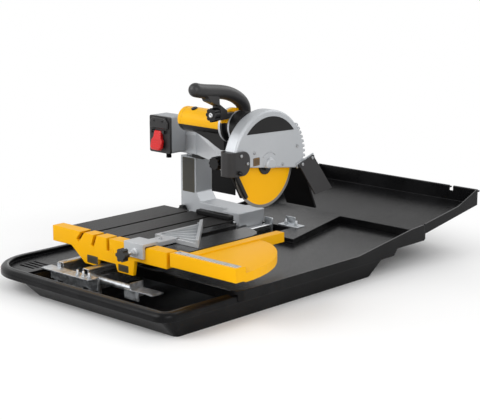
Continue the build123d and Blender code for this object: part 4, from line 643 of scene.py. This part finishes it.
cover_screw = [(5.0, 0), (5.0, 1.6), (4.2, 2.8), (2.2, 3.0), (2.0, 1.6), (0.3, 1.6)]
cover_screws = [(guard_face, y, z) for y, z in ((-66, 430), (126, 428), (60, 380))]
fasten("cover_screw", cover_screws, right, cover_screw, turned, "head", "turned_steel")

# Nozzle block and nozzles: black nylon wrapped round the guard's front, on a cross rod whose
# knurled caps stand out at both sides; two screws hold it to the guard.
dress(highlit_nylon, "nozzle_block")
dress(nylon, "nozzle_left", "nozzle_right")
rod_cap = [(6.5, 0), (6.5, 9), (5.5, 11), (2.0, 11.4), (0.4, 11.4)]
for name, x, outward in (("rod_cap_right", 28, 1), ("rod_cap_left", -26, -1)):
    put(name, *turned_on((x, -138, 380), (outward, 0, 0), rod_cap, sides=24, flats=8), nylon, "head",
        "black_moulding")
fasten("block_screw", [(28, -130, 430), (28, -103, 404)], right, cover_screw, turned, "head",
       "turned_steel")

# Rubber flaps: cut from sheet. The side one is clamped to the guard by a galvanised strip and two
# screws, and the skirt hangs behind the blade.
flap_rubber = moulded("flap_rubber", ink(34, 33, 34), ink(66, 65, 66), grain=1400.0, depth=0.00012,
                      rough=0.4, edge=0.0015, shine=0.3)
dress(flap_rubber, "splash_flap")
dress(rubber, "splash_skirt")
dress(galvanised, "flap_bracket")
fasten("flap_screw", [(30, 143, 369), (30, 189, 383)], right, cover_screw, turned, "head",
       "turned_steel")

# Blade: a steel disc painted yellow, with a sintered diamond rim brazed round its edge.
# The arbor nut clamps it against the spindle's flange.
blade_paint = moulded("blade_paint", ink(246, 180, 0), ink(250, 190, 8), grain=700.0, depth=0.00003,
                      rough=0.3, edge=0.0006, shine=0.12)
dress(blade_paint, "blade_core")
sintered = moulded("sintered_rim", ink(120, 120, 118), ink(190, 190, 186), grain=1800.0, depth=0.0001,
                   rough=0.4, edge=0.0005, metal=0.7)
dress(sintered, "blade_rim")

# Studio: a pale floor that turns white wherever the camera or a reflection sees it far out, soft
# light from a white sky and three large lamps, and the camera that took the picture.


def looked_at(start):
    """1 for a ray from the camera, or one that metal or glass sends on, and 0 for the others."""
    looks = ("Is Camera Ray", "Is Glossy Ray", "Is Transmission Ray")
    straight, mirrored, through = [start.add("LightPath", out=name) for name in looks]
    return straight.most(mirrored.most(through))


scene = bpy.context.scene
scene.view_settings.view_transform = "Standard"
white = (1.0, 1.0, 1.0, 1.0)
world = bpy.data.worlds.new("studio_sky")
scene.world = world
world.use_nodes = True
background = world.node_tree.nodes["Background"]
background.inputs["Color"].default_value = white
sky_strength = 0.5 + 0.5 * looked_at(Shade(world.node_tree))
world.node_tree.links.new(sky_strength.socket, background.inputs["Strength"])

floor_half, white_from, white_all = 30.0, 0.75, 1.35
floor_mesh = bpy.data.meshes.new("floor")
floor_mesh.from_pydata([(-floor_half, -floor_half, 0), (floor_half, -floor_half, 0),
                        (floor_half, floor_half, 0), (-floor_half, floor_half, 0)], [], [(0, 1, 2, 3)])
floor = bpy.data.objects.new("floor", floor_mesh)
scene.collection.objects.link(floor)
floor_paint, ground = start_finish("floor_white")
tree = floor_paint.node_tree
matt = tree.nodes["Principled BSDF"]
matt.inputs["Base Color"].default_value = (0.95, 0.95, 0.95, 1.0)
matt.inputs["Roughness"].default_value = 0.9
distance = ground.add("VectorMath", {"operation": "LENGTH"}, {0: ground}, out="Value")
glow = ground.add("Emission", None, {"Color": white, "Strength": 1.0})
glowing = distance.between(white_from, white_all) * looked_at(ground)
surface = ground.add("MixShader", None, {0: glowing, 1: Shade(tree, matt.outputs[0]), 2: glow})
tree.links.new(surface.socket, tree.nodes["Material Output"].inputs["Surface"])
floor_mesh.materials.append(floor_paint)

lamps = {
    "key": ((-1.4, -2.8, 2.2), 2.4, 78.0),
    "fill": ((2.8, -1.2, 1.8), 2.0, 40.0),
    "rim": ((0.6, 3.0, 2.6), 2.4, 36.0),
}
aim_at = Vector((-0.05, 0.1, 0.2))
for name, (place, size, power) in lamps.items():
    light = bpy.data.lights.new(name, "AREA")
    light.energy = power
    light.size = size
    lamp = bpy.data.objects.new(name, light)
    lamp.location = place
    lamp.rotation_euler = (aim_at - lamp.location).to_track_quat("-Z", "Y").to_euler()
    scene.collection.objects.link(lamp)

camera = bpy.data.objects.new("camera", bpy.data.cameras.new("camera"))
azimuth, pitch = math.radians(43.18), math.radians(12.61)
sight = Vector((-math.sin(azimuth) * math.cos(pitch), math.cos(azimuth) * math.cos(pitch),
                -math.sin(pitch)))
camera.location = (2.810, -2.851, 1.134)
camera.rotation_euler = sight.to_track_quat("-Z", "Y").to_euler()
camera.data.sensor_width = 36.0
camera.data.lens = 100.9
scene.collection.objects.link(camera)
scene.camera = camera
